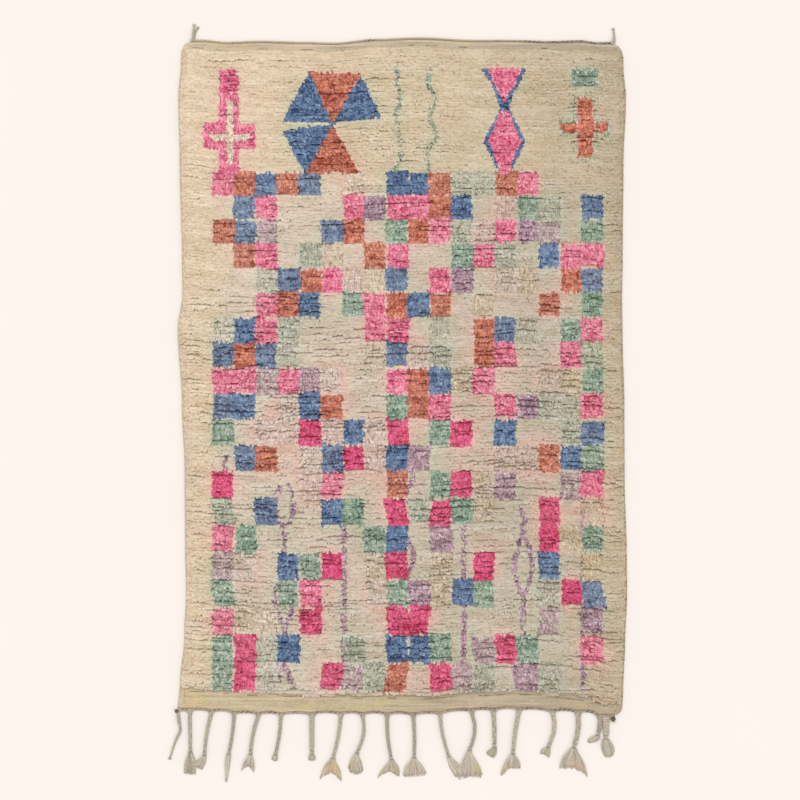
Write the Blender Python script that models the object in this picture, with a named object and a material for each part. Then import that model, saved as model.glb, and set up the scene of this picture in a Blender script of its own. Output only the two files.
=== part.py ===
"""A hand-knotted Berber wool rug, lying flat on the floor.

Metres, +Z up. The rug lies on z = 0, with its length along Y and its fringe towards -Y.
It has three pieces: the knotted rug with its woven edges, the cord that is twined along
its starting end and ends in two corner ties, and the fringe, whose braids grow from a
twined strip along the other end.
"""

import math
import random
from collections import namedtuple

import bmesh
import bpy
import numpy as np
from mathutils import Vector, noise

MM = 0.001
RUG_WIDTH = 1.600
RUG_LENGTH = 2.427
HALF_WIDTH = RUG_WIDTH / 2
HALF_LENGTH = RUG_LENGTH / 2
TOP_CORNER_RADIUS = 0.040
GAP = 0.0003

# The pile: its height over the floor, its lumps and its furrows
PILE_TOP = 0.0215
PILE_RIM_TOP = 0.0175
LUMP_HEIGHT = 0.0035
LUMP_SIZE = 0.110
RAGGED_HEIGHT = 0.0012
FURROW_DEPTH = 0.0060
FURROW_SIZE = 0.230
FURROW_STRETCH = 3.0
FURROW_SHARE = 0.5
PILE_WALL = 0.008
COLUMN_PITCH = 0.064
ROW_PITCH = 0.0245

# The locks at the pile's rim
LOCK_SHARE = 0.7
LOCK_REACH = 0.0125
LOCK_REACH_SPREAD = 0.003
LOCK_SWAY = 0.004
LOCK_TIP_SHARE = 0.3
SIDE_LOCK_TIP_Z = 0.0135
END_LOCK_TIP_Z = 0.0095
END_LOCKS_A_CELL = 3

# The cords along the two ends
CORD_WIDTH = 0.009
CORD_HEIGHT = 0.008

# The fringe: a plait's turn, the height of a braid, its knot and its tassel
PLAIT_STEP = 0.013
PLAIT_SWAY = 0.0014
PLAIT_SWELL = 0.10
BRAID_HEIGHT = 0.0100
KNOT_HEIGHT = 0.0150
KNOT_LENGTH = 0.020
KNOT_SWELL = 1.35
LOCK_ROOT_HEIGHT = 0.0090
LOCK_MIDDLE = 0.48
LOCK_MIDDLE_FILL = 0.78
LOCK_MIDDLE_HEIGHT = 0.0070
LOCK_TIP_HEIGHT = 0.0028
LOCK_TIP_WIDTH = 0.0040
LOCK_SHORTEST = 0.88
CROWN_SHARE = 0.72

SEED = 11

# Two directions agree if their unit vectors have at least this product
ALIGNED = 0.7

# A section through a woven edge: how far in from the edge, and how high there
Step = namedtuple("Step", "inset height")
SELVEDGE = (Step(0.000, 0.0050), Step(0.007, 0.0095), Step(0.016, 0.0070))
TURNED_EDGE = (Step(0.000, 0.0060), Step(0.010, 0.0085), Step(0.024, 0.0070))
FLAT_BAND = (Step(0.000, 0.0050), Step(0.030, 0.0056), Step(0.060, 0.0054))

# How far each side stands out from a straight line, in millimetres, at y metres
Side = namedtuple("Side", "at left right")
SIDES = (
    Side(at=-1.210, left=10, right=-8),
    Side(at=-1.120, left=3, right=-4),
    Side(at=-0.950, left=-13, right=3),
    Side(at=-0.780, left=-19, right=10),
    Side(at=-0.640, left=-16, right=9),
    Side(at=-0.350, left=-14, right=1),
    Side(at=-0.100, left=-4, right=0),
    Side(at=0.165, left=11, right=-6),
    Side(at=0.300, left=-6, right=-8),
    Side(at=0.435, left=-4, right=-6),
    Side(at=0.780, left=4, right=-3),
    Side(at=1.015, left=9, right=6),
    Side(at=1.140, left=-1, right=-3),
)

# How far each end stands out from a straight line, in millimetres, at x metres
End = namedtuple("End", "at top bottom")
ENDS = (
    End(at=-0.770, top=0, bottom=-13),
    End(at=-0.665, top=-8, bottom=-8),
    End(at=-0.550, top=-4, bottom=0),
    End(at=-0.375, top=-8, bottom=2),
    End(at=-0.265, top=-11, bottom=-1),
    End(at=-0.090, top=3, bottom=1),
    End(at=0.065, top=8, bottom=3),
    End(at=0.280, top=-1, bottom=-12),
    End(at=0.415, top=-1, bottom=-16),
    End(at=0.565, top=-5, bottom=-9),
    End(at=0.680, top=-2, bottom=-5),
    End(at=0.740, top=-9, bottom=9),
)

# The fringe, left to right, in millimetres. A braid grows down from its root for its
# length, bowed sideways by bend and ending aside by end. Its tassel is so long, so wide
# at its tips, leans aside by drift and has so many locks.
Braid = namedtuple("Braid", "root bend end length width tassel spread drift locks")
FRINGE = (
    Braid(root=-758, bend=0, end=2, length=134, width=19, tassel=88, spread=42, drift=-2, locks=7),
    Braid(root=-679, bend=-4, end=-25, length=153, width=17, tassel=38, spread=16, drift=-18, locks=3),
    Braid(root=-598, bend=3, end=-20, length=148, width=17, tassel=100, spread=15, drift=-10, locks=3),
    Braid(root=-509, bend=-5, end=-32, length=153, width=18, tassel=56, spread=52, drift=-9, locks=6),
    Braid(root=-430, bend=4, end=-18, length=148, width=17, tassel=36, spread=16, drift=-6, locks=3),
    Braid(root=-318, bend=0, end=0, length=148, width=24, tassel=36, spread=20, drift=0, locks=3),
    Braid(root=-213, bend=4, end=-27, length=170, width=18, tassel=68, spread=76, drift=-9, locks=8),
    Braid(root=-137, bend=13, end=-13, length=148, width=17, tassel=69, spread=46, drift=0, locks=6),
    Braid(root=-47, bend=-4, end=14, length=170, width=18, tassel=58, spread=70, drift=-14, locks=8),
    Braid(root=47, bend=3, end=4, length=162, width=18, tassel=61, spread=78, drift=5, locks=8),
    Braid(root=144, bend=-5, end=27, length=155, width=17, tassel=76, spread=54, drift=13, locks=6),
    Braid(root=256, bend=14, end=0, length=141, width=18, tassel=96, spread=82, drift=8, locks=8),
    Braid(root=336, bend=2, end=4, length=134, width=17, tassel=30, spread=12, drift=-14, locks=3),
    Braid(root=430, bend=-3, end=-22, length=144, width=17, tassel=78, spread=58, drift=-9, locks=7),
    Braid(root=549, bend=12, end=-11, length=123, width=17, tassel=32, spread=38, drift=-8, locks=4),
    Braid(root=643, bend=-2, end=-7, length=123, width=25, tassel=100, spread=100, drift=-11, locks=9),
    Braid(root=728, bend=14, end=-42, length=108, width=10, tassel=30, spread=9, drift=-6, locks=2),
    Braid(root=748, bend=0, end=-4, length=97, width=18, tassel=64, spread=42, drift=7, locks=6),
)

# The strip's two ends and the cord's two corner ties, as points off the end of the cord,
# in millimetres, each with the width and height of the strand there
Bend = namedtuple("Bend", "x y width height")
LEFT_TAIL = (
    Bend(x=-5, y=-3, width=17, height=13),
    Bend(x=-6, y=-17, width=13, height=11),
    Bend(x=1, y=-48, width=8, height=8),
    Bend(x=5, y=-74, width=8, height=8),
    Bend(x=-7, y=-112, width=7, height=7),
    Bend(x=-22, y=-146, width=6, height=6),
    Bend(x=-28, y=-172, width=3, height=3),
)
RIGHT_KNOT = (
    Bend(x=4, y=-1, width=16, height=13),
    Bend(x=12, y=-8, width=19, height=14),
    Bend(x=14, y=-21, width=9, height=6),
)
LEFT_TIE = (
    Bend(x=-5, y=4, width=10, height=9),
    Bend(x=-5, y=19, width=9, height=9),
    Bend(x=1, y=36, width=10, height=7),
    Bend(x=7, y=54, width=3, height=3),
)
RIGHT_TIE = (
    Bend(x=5, y=3, width=10, height=9),
    Bend(x=6, y=17, width=9, height=9),
    Bend(x=2, y=34, width=9, height=7),
    Bend(x=-2, y=50, width=3, height=3),
)

# The colours of the wool, and how rough it is
CREAM_WOOL = (0.74, 0.66, 0.50, 1.0)
WARP_WOOL = (0.52, 0.46, 0.38, 1.0)
WOOL_ROUGHNESS = 0.95


def clear_scene():
    for obj in list(bpy.data.objects):
        bpy.data.objects.remove(obj, do_unlink=True)


def wool(name, colour):
    material = bpy.data.materials.new(name)
    material.use_nodes = True
    shader = material.node_tree.nodes["Principled BSDF"]
    shader.inputs["Base Color"].default_value = colour
    shader.inputs["Roughness"].default_value = WOOL_ROUGHNESS
    shader.inputs["Metallic"].default_value = 0.0
    return material


def eased(at, rows, column):
    """A column of a table at a place between its rows, in metres, eased from row to row."""
    places = [row.at for row in rows]
    values = [getattr(row, column) * MM for row in rows]
    step = np.interp(at, places, range(len(rows)))
    below = min(int(step), len(rows) - 2)
    share = (1 - math.cos(math.pi * (step - below))) / 2
    return values[below] + (values[below + 1] - values[below]) * share


def on_rug(x, y):
    """Where a point of the straight rug lies once its edges wander and its corners round."""
    across = x / HALF_WIDTH
    along = y / HALF_LENGTH
    right = eased(y, SIDES, "right") * (1 + across) / 2
    left = eased(y, SIDES, "left") * (1 - across) / 2
    top = eased(x, ENDS, "top") * (1 + along) / 2
    bottom = eased(x, ENDS, "bottom") * (1 - along) / 2
    into_corner = max(0.0, y - (HALF_LENGTH - TOP_CORNER_RADIUS))
    level = math.sqrt(max(0.0, TOP_CORNER_RADIUS**2 - into_corner**2))
    rounded = across * (TOP_CORNER_RADIUS - level)
    return x + right - left - rounded, y + top - bottom


def root_edges(braid):
    """The two ends of a braid's root on the strip, on the straight rug."""
    half = braid.width / 2
    return (braid.root - half) * MM, (braid.root + half) * MM


def beside_roots(x):
    """x, or the nearest end of the braid's root that it would fall in."""
    for braid in FRINGE:
        low, high = root_edges(braid)
        if low < x < high:
            return low if x - low < high - x else high
    return x


def spaced(first, last, pitch):
    """Even places from first to last, about pitch apart."""
    count = max(1, round((last - first) / pitch))
    return [first + (last - first) * i / count for i in range(count + 1)]


# A line of the grid across or along the rug: its place, and its height on a woven edge
Line = namedtuple("Line", "at height")


def lines(half, start, finish, pitch):
    """Grid lines from -half to half: one woven edge, the pile, and the other edge."""
    first = start[-1].inset + PILE_WALL - half
    last = half - finish[-1].inset - PILE_WALL
    low = [Line(step.inset - half, step.height) for step in start]
    pile = [Line(place, None) for place in spaced(first, last, pitch)]
    high = [Line(half - step.inset, step.height) for step in reversed(finish)]
    return low + pile + high


def grid_columns():
    columns = lines(HALF_WIDTH, SELVEDGE, SELVEDGE, COLUMN_PITCH)
    return [Line(beside_roots(c.at), c.height) for c in columns]


def grid_rows():
    return lines(HALF_LENGTH, FLAT_BAND, TURNED_EDGE, ROW_PITCH)


def pile_height(x, y, in_furrow, at_rim, rng):
    """The pile's lumps, with a furrow of uneven depth along every other row."""
    lump = noise.noise(Vector((x, y, 0.0)) / LUMP_SIZE) * LUMP_HEIGHT
    ragged = rng.uniform(-RAGGED_HEIGHT, RAGGED_HEIGHT)
    top = PILE_RIM_TOP if at_rim else PILE_TOP
    if at_rim or not in_furrow:
        return top + lump + ragged
    opened = FURROW_SHARE + noise.noise(Vector((x, y * FURROW_STRETCH, 0.0)) / FURROW_SIZE)
    return top + lump + ragged - FURROW_DEPTH * min(1.0, max(0.0, opened))


def surface_height(column, row, columns, rows, rng):
    """The height of the rug's face at a crossing of two grid lines."""
    woven = [line.height for line in (columns[column], rows[row]) if line.height is not None]
    if woven:
        return min(woven)
    beside = [columns[column - 1], columns[column + 1], rows[row - 1], rows[row + 1]]
    at_rim = any(line.height is not None for line in beside)
    return pile_height(columns[column].at, rows[row].at, row % 2 == 1, at_rim, rng)


def nearest_step(value, count):
    """The number of a grid line from its place on a grid that spans -1 to 1."""
    return round((value + 1) / 2 * count)


def rug_face(bm, columns, rows, rng):
    """The rug's upper face as a grid. Gives each cell's face by its column and row."""
    across, along = len(columns) - 1, len(rows) - 1
    bmesh.ops.create_grid(bm, x_segments=across, y_segments=along, size=1.0)
    cells = {}
    for face in bm.faces:
        middle = face.calc_center_median()
        corner = (int((middle.x + 1) / 2 * across), int((middle.y + 1) / 2 * along))
        cells[corner] = face
    for vert in bm.verts:
        column = nearest_step(vert.co.x, across)
        row = nearest_step(vert.co.y, along)
        x, y = on_rug(columns[column].at, rows[row].at)
        vert.co = (x, y, surface_height(column, row, columns, rows, rng))
    return cells


def close_underneath(bm):
    """Drops the rim to the floor and closes it with one flat face."""
    rim = [edge for edge in bm.edges if edge.is_boundary]
    dropped = bmesh.ops.extrude_edge_only(bm, edges=rim)["geom"]
    for vert in dropped:
        if isinstance(vert, bmesh.types.BMVert):
            vert.co.z = 0.0
    floor = [e for e in dropped if isinstance(e, bmesh.types.BMEdge) and e.is_boundary]
    bmesh.ops.edgeloop_fill(bm, edges=floor)


def pull_lock(bm, face, outward, tip_z, rng):
    """Draws one lock of pile out of a face of the pile's wall, tapering to its tip."""
    reach = LOCK_REACH + rng.uniform(-LOCK_REACH_SPREAD, LOCK_REACH_SPREAD)
    sway = rng.uniform(-LOCK_SWAY, LOCK_SWAY)
    tip_face = bmesh.ops.extrude_discrete_faces(bm, faces=[face])["faces"][0]
    root = tip_face.calc_center_median()
    tip = root + outward * reach + Vector((-outward.y, outward.x, 0)) * sway
    tip.z = tip_z
    for vert in tip_face.verts:
        vert.co = tip + (vert.co - root) * LOCK_TIP_SHARE


def cut_into_roots(bm, face, count, along):
    """Cuts a four-sided face into count faces, side by side along a direction."""
    normal = face.normal.copy()
    middle = face.calc_center_median()
    half = max(abs((vert.co - middle).dot(along)) for vert in face.verts)
    edges = [
        edge
        for edge in face.edges
        if abs((edge.verts[1].co - edge.verts[0].co).normalized().dot(along)) > ALIGNED
    ]
    bmesh.ops.subdivide_edges(bm, edges=edges, cuts=count - 1)
    bm.normal_update()
    found = []
    for part in bm.faces:
        offset = part.calc_center_median() - middle
        level = abs(offset.dot(normal)) < half and part.normal.dot(normal) > ALIGNED
        if level and len(part.verts) == 4 and offset.length < half:
            found.append(part)
    return sorted(found, key=lambda part: part.calc_center_median().dot(along))


def rug_body(rng):
    """The ground, selvedges and pile in one piece, with locks along the pile's rim."""
    columns, rows = grid_columns(), grid_rows()
    bm = bmesh.new()
    cells = rug_face(bm, columns, rows, rng)
    close_underneath(bm)
    wall_left = len(SELVEDGE) - 1
    wall_right = len(columns) - len(SELVEDGE) - 1
    wall_bottom = len(FLAT_BAND) - 1
    wall_top = len(rows) - len(TURNED_EDGE) - 1
    for row in range(wall_bottom + 1, wall_top):
        for column, outward in ((wall_left, (-1, 0, 0)), (wall_right, (1, 0, 0))):
            if rng.random() < LOCK_SHARE:
                pull_lock(bm, cells[column, row], Vector(outward), SIDE_LOCK_TIP_Z, rng)
    bm.normal_update()
    end_cells = [cells[column, wall_bottom] for column in range(wall_left + 1, wall_right)]
    for cell in end_cells:
        for root in cut_into_roots(bm, cell, END_LOCKS_A_CELL, Vector((1, 0, 0))):
            if rng.random() < LOCK_SHARE:
                pull_lock(bm, root, Vector((0, -1, 0)), END_LOCK_TIP_Z, rng)
    return bm


class Section:
    """An upright four-sided section of a strand that stands on the floor."""

    def __init__(self, x, y, direction, width, height, crown=CROWN_SHARE):
        self.centre = Vector((x, y))
        self.direction = Vector(direction).normalized()
        self.across = Vector((-self.direction.y, self.direction.x))
        self.width = width
        self.height = height
        self.crown = crown

    def corner(self, side, high):
        half = self.width / 2 * (self.crown if high else 1.0)
        place = self.centre + self.across * side * half
        return place.x, place.y, self.height if high else 0.0


def sweep(bm, face, here, sections):
    """Carries an end face on through sections of the strand, and gives the last face."""
    for there in sections:
        face = bmesh.ops.extrude_discrete_faces(bm, faces=[face])["faces"][0]
        for vert in face.verts:
            side = 1 if (vert.co.xy - here.centre).dot(here.across) > 0 else -1
            vert.co = there.corner(side, vert.co.z > here.height / 2)
        here = there
    return face


def sections_through(points, start):
    """Sections at the points of a strand's path, each turned along the path."""
    path = [start] + [Vector((x, y)) for x, y, _, _ in points]
    path.append(path[-1] * 2 - path[-2])
    return [
        Section(x, y, path[i + 2] - path[i], width, height)
        for i, (x, y, width, height) in enumerate(points)
    ]


def end_line(y):
    """The grid's corners along one end of the rug, as lists of x and y."""
    placed = [on_rug(column.at, y) for column in grid_columns()]
    return [x for x, _ in placed], [y for _, y in placed]


def twined_strip(bm, stations, outward):
    """A four-sided strip along an end of the rug, outside it by the gap.

    Gives the outer face of each span, and the strip's left and right end faces.
    """

    def corner(station, outer, high):
        x, y = station
        return x, y + outward * (GAP + (CORD_WIDTH if outer else 0.0)), CORD_HEIGHT * high

    for vert in bmesh.ops.create_cube(bm, size=2.0)["verts"]:
        outer = vert.co.y * outward > 0
        vert.co = corner(stations[vert.co.x > 0], outer, vert.co.z > 0)
    bm.normal_update()
    outer_faces = [face for face in bm.faces if face.normal.y * outward > ALIGNED]
    left = next(face for face in bm.faces if face.normal.x < -ALIGNED)
    right = next(face for face in bm.faces if face.normal.x > ALIGNED)
    for before, station in zip(stations[1:], stations[2:]):
        right = bmesh.ops.extrude_discrete_faces(bm, faces=[right])["faces"][0]
        outer_edge = before[1] + outward * (GAP + CORD_WIDTH / 2)
        for vert in right.verts:
            outer = (vert.co.y - outer_edge) * outward > 0
            vert.co = corner(station, outer, vert.co.z > CORD_HEIGHT / 2)
        bm.normal_update()
        sides = {face for edge in right.edges for face in edge.link_faces} - {right}
        outer_faces.append(max(sides, key=lambda face: face.normal.y * outward))
    return outer_faces, left, right


def strand_off_end(bm, face, outward_x, bends):
    """Carries the end face of a strip on through a short table of bends."""
    middle = face.calc_center_median()
    here = Section(middle.x, middle.y, (outward_x, 0), CORD_WIDTH, CORD_HEIGHT, crown=1.0)
    points = [
        (middle.x + b.x * MM, middle.y + b.y * MM, b.width * MM, b.height * MM) for b in bends
    ]
    sweep(bm, face, here, sections_through(points, here.centre))


def top_cord():
    """The cord along the starting end, whose two loose ends are the corner ties."""
    bm = bmesh.new()
    stations = list(zip(*end_line(HALF_LENGTH)))
    _, left, right = twined_strip(bm, stations, outward=1)
    strand_off_end(bm, left, -1, LEFT_TIE)
    strand_off_end(bm, right, 1, RIGHT_TIE)
    return bm


def braid_sections(braid, root):
    """The braid from its root to its knot, swaying and swelling at each turn of the plait."""
    count = round(braid.length * MM / PLAIT_STEP)
    points = []
    for i in range(1, count + 1):
        share = i / count
        turn = -1 if i % 2 else 1
        aside = braid.end * share + braid.bend * math.sin(math.pi * share)
        width = braid.width * MM * (1 + PLAIT_SWELL * turn)
        x = root.x + aside * MM + PLAIT_SWAY * turn
        points.append((x, root.y - braid.length * MM * share, width, BRAID_HEIGHT))
    return sections_through(points, root)


def knot_sections(braid, last):
    """The knot at the braid's end, and the neck that the tassel's locks grow from."""
    slope = (braid.end - math.pi * braid.bend) / braid.length
    direction = Vector((slope, -1)).normalized()
    neck = last.centre + direction * KNOT_LENGTH
    middle = (last.centre + neck) / 2
    width = braid.width * MM
    swollen = Section(*middle, direction, width * KNOT_SWELL, KNOT_HEIGHT)
    return [swollen, Section(*neck, direction, width, LOCK_ROOT_HEIGHT, crown=1.0)]


def lock_sections(braid, neck, place, rng):
    """One lock of a tassel, by its place from -1 to 1 across the neck."""
    length = (braid.tassel * MM - KNOT_LENGTH) * rng.uniform(LOCK_SHORTEST, 1.0)
    width = neck.width / braid.locks
    start = neck.centre + neck.across * place * (neck.width - width) / 2
    aside = (braid.drift + place * braid.spread / 2) * MM
    tip = neck.centre + Vector((aside, -length))
    middle = start.lerp(tip, LOCK_MIDDLE)
    fanned = neck.width + (braid.spread * MM - neck.width) * LOCK_MIDDLE
    bulk = fanned / braid.locks * LOCK_MIDDLE_FILL
    points = [
        (*middle, max(bulk, LOCK_TIP_WIDTH), LOCK_MIDDLE_HEIGHT),
        (*tip, LOCK_TIP_WIDTH, LOCK_TIP_HEIGHT),
    ]
    here = Section(*start, neck.direction, width, LOCK_ROOT_HEIGHT, crown=1.0)
    return here, sections_through(points, start)


def tassel(bm, face, braid, neck, rng):
    """Cuts the neck's end into one root for each lock, and draws the locks out of them."""
    across = neck.across.to_3d()
    roots = cut_into_roots(bm, face, braid.locks, across)
    for i, root in enumerate(roots):
        place = (2 * i + 1) / braid.locks - 1
        here, sections = lock_sections(braid, neck, place, rng)
        sweep(bm, root, here, sections)


def fringe(rng):
    """The twined strip along the finishing end, with its braids and their tassels."""
    bm = bmesh.new()
    columns = [column.at for column in grid_columns()]
    xs, ys = end_line(-HALF_LENGTH)
    cuts = sorted(set(columns) | {edge for braid in FRINGE for edge in root_edges(braid)})
    stations = [(np.interp(cut, columns, xs), np.interp(cut, columns, ys)) for cut in cuts]
    outer_faces, left, right = twined_strip(bm, stations, outward=-1)
    strand_off_end(bm, left, -1, LEFT_TAIL)
    strand_off_end(bm, right, 1, RIGHT_KNOT)
    for braid in FRINGE:
        face = outer_faces[cuts.index(root_edges(braid)[0])]
        middle = face.calc_center_median()
        root = Section(middle.x, middle.y, (0, -1), braid.width * MM, CORD_HEIGHT, crown=1.0)
        plait = braid_sections(braid, root.centre)
        knot = knot_sections(braid, plait[-1])
        face = sweep(bm, face, root, plait + knot)
        bm.normal_update()
        tassel(bm, face, braid, knot[-1], rng)
    return bm


def add_node(name, bm, material, collection):
    bmesh.ops.recalc_face_normals(bm, faces=bm.faces)
    mesh = bpy.data.meshes.new(name)
    bm.to_mesh(mesh)
    bm.free()
    mesh.materials.append(material)
    obj = bpy.data.objects.new(name, mesh)
    collection.objects.link(obj)
    return obj


def centre_on_floor(objects):
    """Moves all pieces alike, so that the middle of the whole is over the origin."""
    corners = np.array([vert.co for obj in objects for vert in obj.data.vertices])
    low, high = corners.min(axis=0), corners.max(axis=0)
    for obj in objects:
        obj.location = (-(low[0] + high[0]) / 2, -(low[1] + high[1]) / 2, 0.0)


def main():
    clear_scene()
    rng = random.Random(SEED)
    collection = bpy.data.collections.new("berber_rug")
    bpy.context.scene.collection.children.link(collection)
    cream = wool("cream_pile_wool", CREAM_WOOL)
    grey = wool("grey_warp_wool", WARP_WOOL)
    pieces = [
        add_node("rug_body", rug_body(rng), cream, collection),
        add_node("top_cord", top_cord(), grey, collection),
        add_node("fringe", fringe(rng), grey, collection),
    ]
    centre_on_floor(pieces)


main()
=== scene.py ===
"""The looks of the hand-knotted Berber rug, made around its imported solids.

Metres, +Z up, in the CAD's frame. The rug is first laid out as a straight rectangle, with
its middle at the origin. on_rug then moves each point to where it lies on the real rug,
whose edges wander, and SHIFT moves the whole to where the CAD has it.
"""

import math
import random
from collections import namedtuple

import bpy
import numpy as np
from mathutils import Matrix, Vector


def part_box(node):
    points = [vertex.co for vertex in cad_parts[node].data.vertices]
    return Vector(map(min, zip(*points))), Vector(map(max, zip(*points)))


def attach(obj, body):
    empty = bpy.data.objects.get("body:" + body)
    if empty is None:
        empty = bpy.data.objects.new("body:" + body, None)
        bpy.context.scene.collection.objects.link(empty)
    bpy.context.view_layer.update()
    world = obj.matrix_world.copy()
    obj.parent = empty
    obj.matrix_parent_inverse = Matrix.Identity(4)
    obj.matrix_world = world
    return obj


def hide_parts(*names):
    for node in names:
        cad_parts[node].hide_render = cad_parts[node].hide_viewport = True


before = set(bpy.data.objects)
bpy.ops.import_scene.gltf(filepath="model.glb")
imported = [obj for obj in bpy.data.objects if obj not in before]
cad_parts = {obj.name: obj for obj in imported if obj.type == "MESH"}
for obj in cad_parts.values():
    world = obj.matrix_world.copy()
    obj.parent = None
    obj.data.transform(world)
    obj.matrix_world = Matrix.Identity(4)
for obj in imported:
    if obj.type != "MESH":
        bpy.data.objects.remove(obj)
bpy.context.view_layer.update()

MM = 0.001
RUG_WIDTH = 1.600
RUG_LENGTH = 2.427
HALF_WIDTH = RUG_WIDTH / 2
HALF_LENGTH = RUG_LENGTH / 2
TOP_CORNER_RADIUS = 0.040
TOP_CORNER_HEIGHT = 0.058
CUT_CORNER = 0.026
TOP_DRAWN_IN = 0.008
GAP = 0.0003
SEED = 23
NOISE_CELLS = 256

# The woven edges: how far in from each edge the first knots stand
SIDE_INSET = 0.0105
TOP_INSET = 0.022
BOTTOM_INSETS = ((-0.50, 0.090), (-0.15, 0.077), (0.46, 0.077), (0.74, 0.060))
LEAST_BOTTOM_INSET = 0.060
BAND_LENGTH = 0.073

# The knots, and the locks of yarn that lie over one another from them like thatch
ROW_PITCH = 0.0110
KNOT_PITCH = 0.0064
ROOT_HEIGHT = 0.0085
TIP_HEIGHT = 0.0200
EDGE_TIP_HEIGHT = 0.0075
LOCK_LEAN = 0.0205
LOCK_ROOT_RADIUS = 0.0046
LOCK_MIDDLE_RADIUS = 0.0072
LOCK_TIP_RADIUS = 0.0030
LOCK_THINNESS = 0.42
LOCK_TURN_SPREAD = 0.07
LOCK_SIDES = 3
LOCK_SOFTNESS = 0.8
SHOWN_AT = 0.75
MOST_LOCKS_A_PIECE = 13500

# The ground: a weft's width, and how far the wool packed round the knots rises over it
WEFT_PITCH = 0.0030
WEFT_LINE_HEIGHT = 0.0064
PACKED_RISE = 0.0078
SCALLOP = 0.006
GROUND_COLUMNS = 161

# The cords along the two ends, and the overcast selvedges
CORD_WIDTH = 0.009
CORD_HEIGHT = 0.0084
CORD_TURN = 0.017
CORD_STATIONS = 620
PLY_SIDES = 6
SELVEDGE_REACH = 0.0100
SELVEDGE_LEVEL = 0.0052
SELVEDGE_FLATNESS = 0.30
SELVEDGE_STATIONS = 760

# The fringe, and the height and radius of a tassel's yarns from the knot to their tips
PLAIT_PERIOD = 0.036
BRAID_HEIGHT = 0.0110
BRAID_SHARE = 0.77
KNOT_LENGTH = 0.020
STRANDS_A_TASSEL = 32
STRANDS_A_SPREAD_MM = 0.55
TASSEL_FLOOR = 0.0019
TASSEL_TOP = np.array((0.0080, 0.0078, 0.0066, 0.0056, 0.0046, 0.0036, 0.0030))
TASSEL_RADII = np.array((0.0017, 0.0018, 0.0019, 0.0018, 0.0017, 0.0015, 0.0011))

UP = (0.0, 0.0, 1.0)
ALONG_X = (1.0, 0.0, 0.0)
ALONG_Y = (0.0, 1.0, 0.0)

# How far each side stands out from a straight line, in millimetres, at y metres
Side = namedtuple("Side", "at left right")
SIDES = (
    Side(-1.210, 10, -8), Side(-1.120, 3, -4), Side(-0.950, -13, 3),
    Side(-0.780, -19, 10), Side(-0.640, -16, 9), Side(-0.350, -14, 1),
    Side(-0.100, -4, 0), Side(0.165, 11, -6), Side(0.300, -6, -8),
    Side(0.435, -4, -6), Side(0.780, 4, -3), Side(1.015, 9, 6),
    Side(1.140, -1, -3),
)

# How far each end stands out from a straight line, in millimetres, at x metres
End = namedtuple("End", "at top bottom")
ENDS = (
    End(-0.770, 0, -13), End(-0.665, -8, -8), End(-0.550, -4, 0),
    End(-0.375, -8, 2), End(-0.265, -11, -1), End(-0.090, 3, 1),
    End(0.065, 8, 3), End(0.280, -1, -12), End(0.415, -1, -16),
    End(0.565, -5, -9), End(0.680, -2, -5), End(0.740, -9, 9),
)

# The fringe, left to right, in millimetres, as in the solids. A braid grows down from its
# root for its length, bowed sideways by bend and ending aside by end. Its tassel is so
# long, so wide at its tips and leans aside by drift. The tips' line is round where brim is
# above 0 and hollow where it is below, and falls to the right where tilt is above 0.
Braid = namedtuple(
    "Braid", "root bend end length width tassel spread drift brim tilt", defaults=[0]
)
FRINGE = (
    Braid(-758, 0, 2, 134, 18, 97, 46, -2, 0.08),
    Braid(-679, -4, -25, 142, 17, 60, 36, -24, 0.05),
    Braid(-598, 3, -17, 132, 17, 116, 11, -8, 0.3),
    Braid(-509, -5, -29, 130, 18, 78, 48, -9, -0.35),
    Braid(-430, 4, -16, 131, 17, 36, 21, -4, 0.2),
    Braid(-318, 0, 0, 131, 24, 36, 22, 0, 0.1),
    Braid(-213, 4, -25, 145, 18, 95, 82, -7, -0.35),
    Braid(-137, 13, -13, 127, 17, 90, 56, -2, 0.25),
    Braid(-47, -4, 13, 148, 18, 80, 78, -12, -0.35, -0.15),
    Braid(47, 3, 4, 139, 18, 82, 88, 4, 0.05),
    Braid(144, -5, 28, 141, 17, 84, 38, 40, 0.1),
    Braid(256, 14, -1, 129, 18, 118, 92, 6, -0.1),
    Braid(336, 2, 4, 119, 21, 46, 34, -16, 0.1),
    Braid(430, -3, -22, 144, 21, 86, 70, -9, -0.3, -0.28),
    Braid(549, 12, -9, 114, 21, 47, 38, -12, -0.15),
    Braid(643, 6, -11, 113, 25, 104, 104, 0, -0.15, 0.17),
    Braid(730, 2, -6, 54, 23, 38, 17, -34, 0.2),
    Braid(755, 0, 0, 66, 33, 80, 42, 15, 0.25),
)

# The loose ends of the two cords, as points off the cord's end in millimetres
Bend = namedtuple("Bend", "x y width")
LEFT_TAIL = (
    Bend(1, -12, 15), Bend(3, -40, 11), Bend(8, -72, 11),
    Bend(-6, -104, 9), Bend(-20, -142, 8), Bend(-28, -172, 6),
)
LEFT_TIE = (
    Bend(4, 6, 13), Bend(5, 20, 12), Bend(7, 36, 12), Bend(6, 50, 5),
)
LEFT_FORK = (
    Bend(8, 14, 7), Bend(11, 27, 7), Bend(16, 41, 5),
)
RIGHT_TIE = (
    Bend(5, 3, 14), Bend(6, 16, 10), Bend(7, 30, 9), Bend(4, 44, 5),
)

# The dark knots of the bottom strip: its end, the offset from it, the axis, radius and turns
END_KNOTS = (
    (0, (-0.005, -0.003, 0), (0.3, -1, 0), 0.0075, 3),
    (-1, (-0.006, -0.010, 0), (1, -0.8, 0), 0.0092, 4),
)

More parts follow.
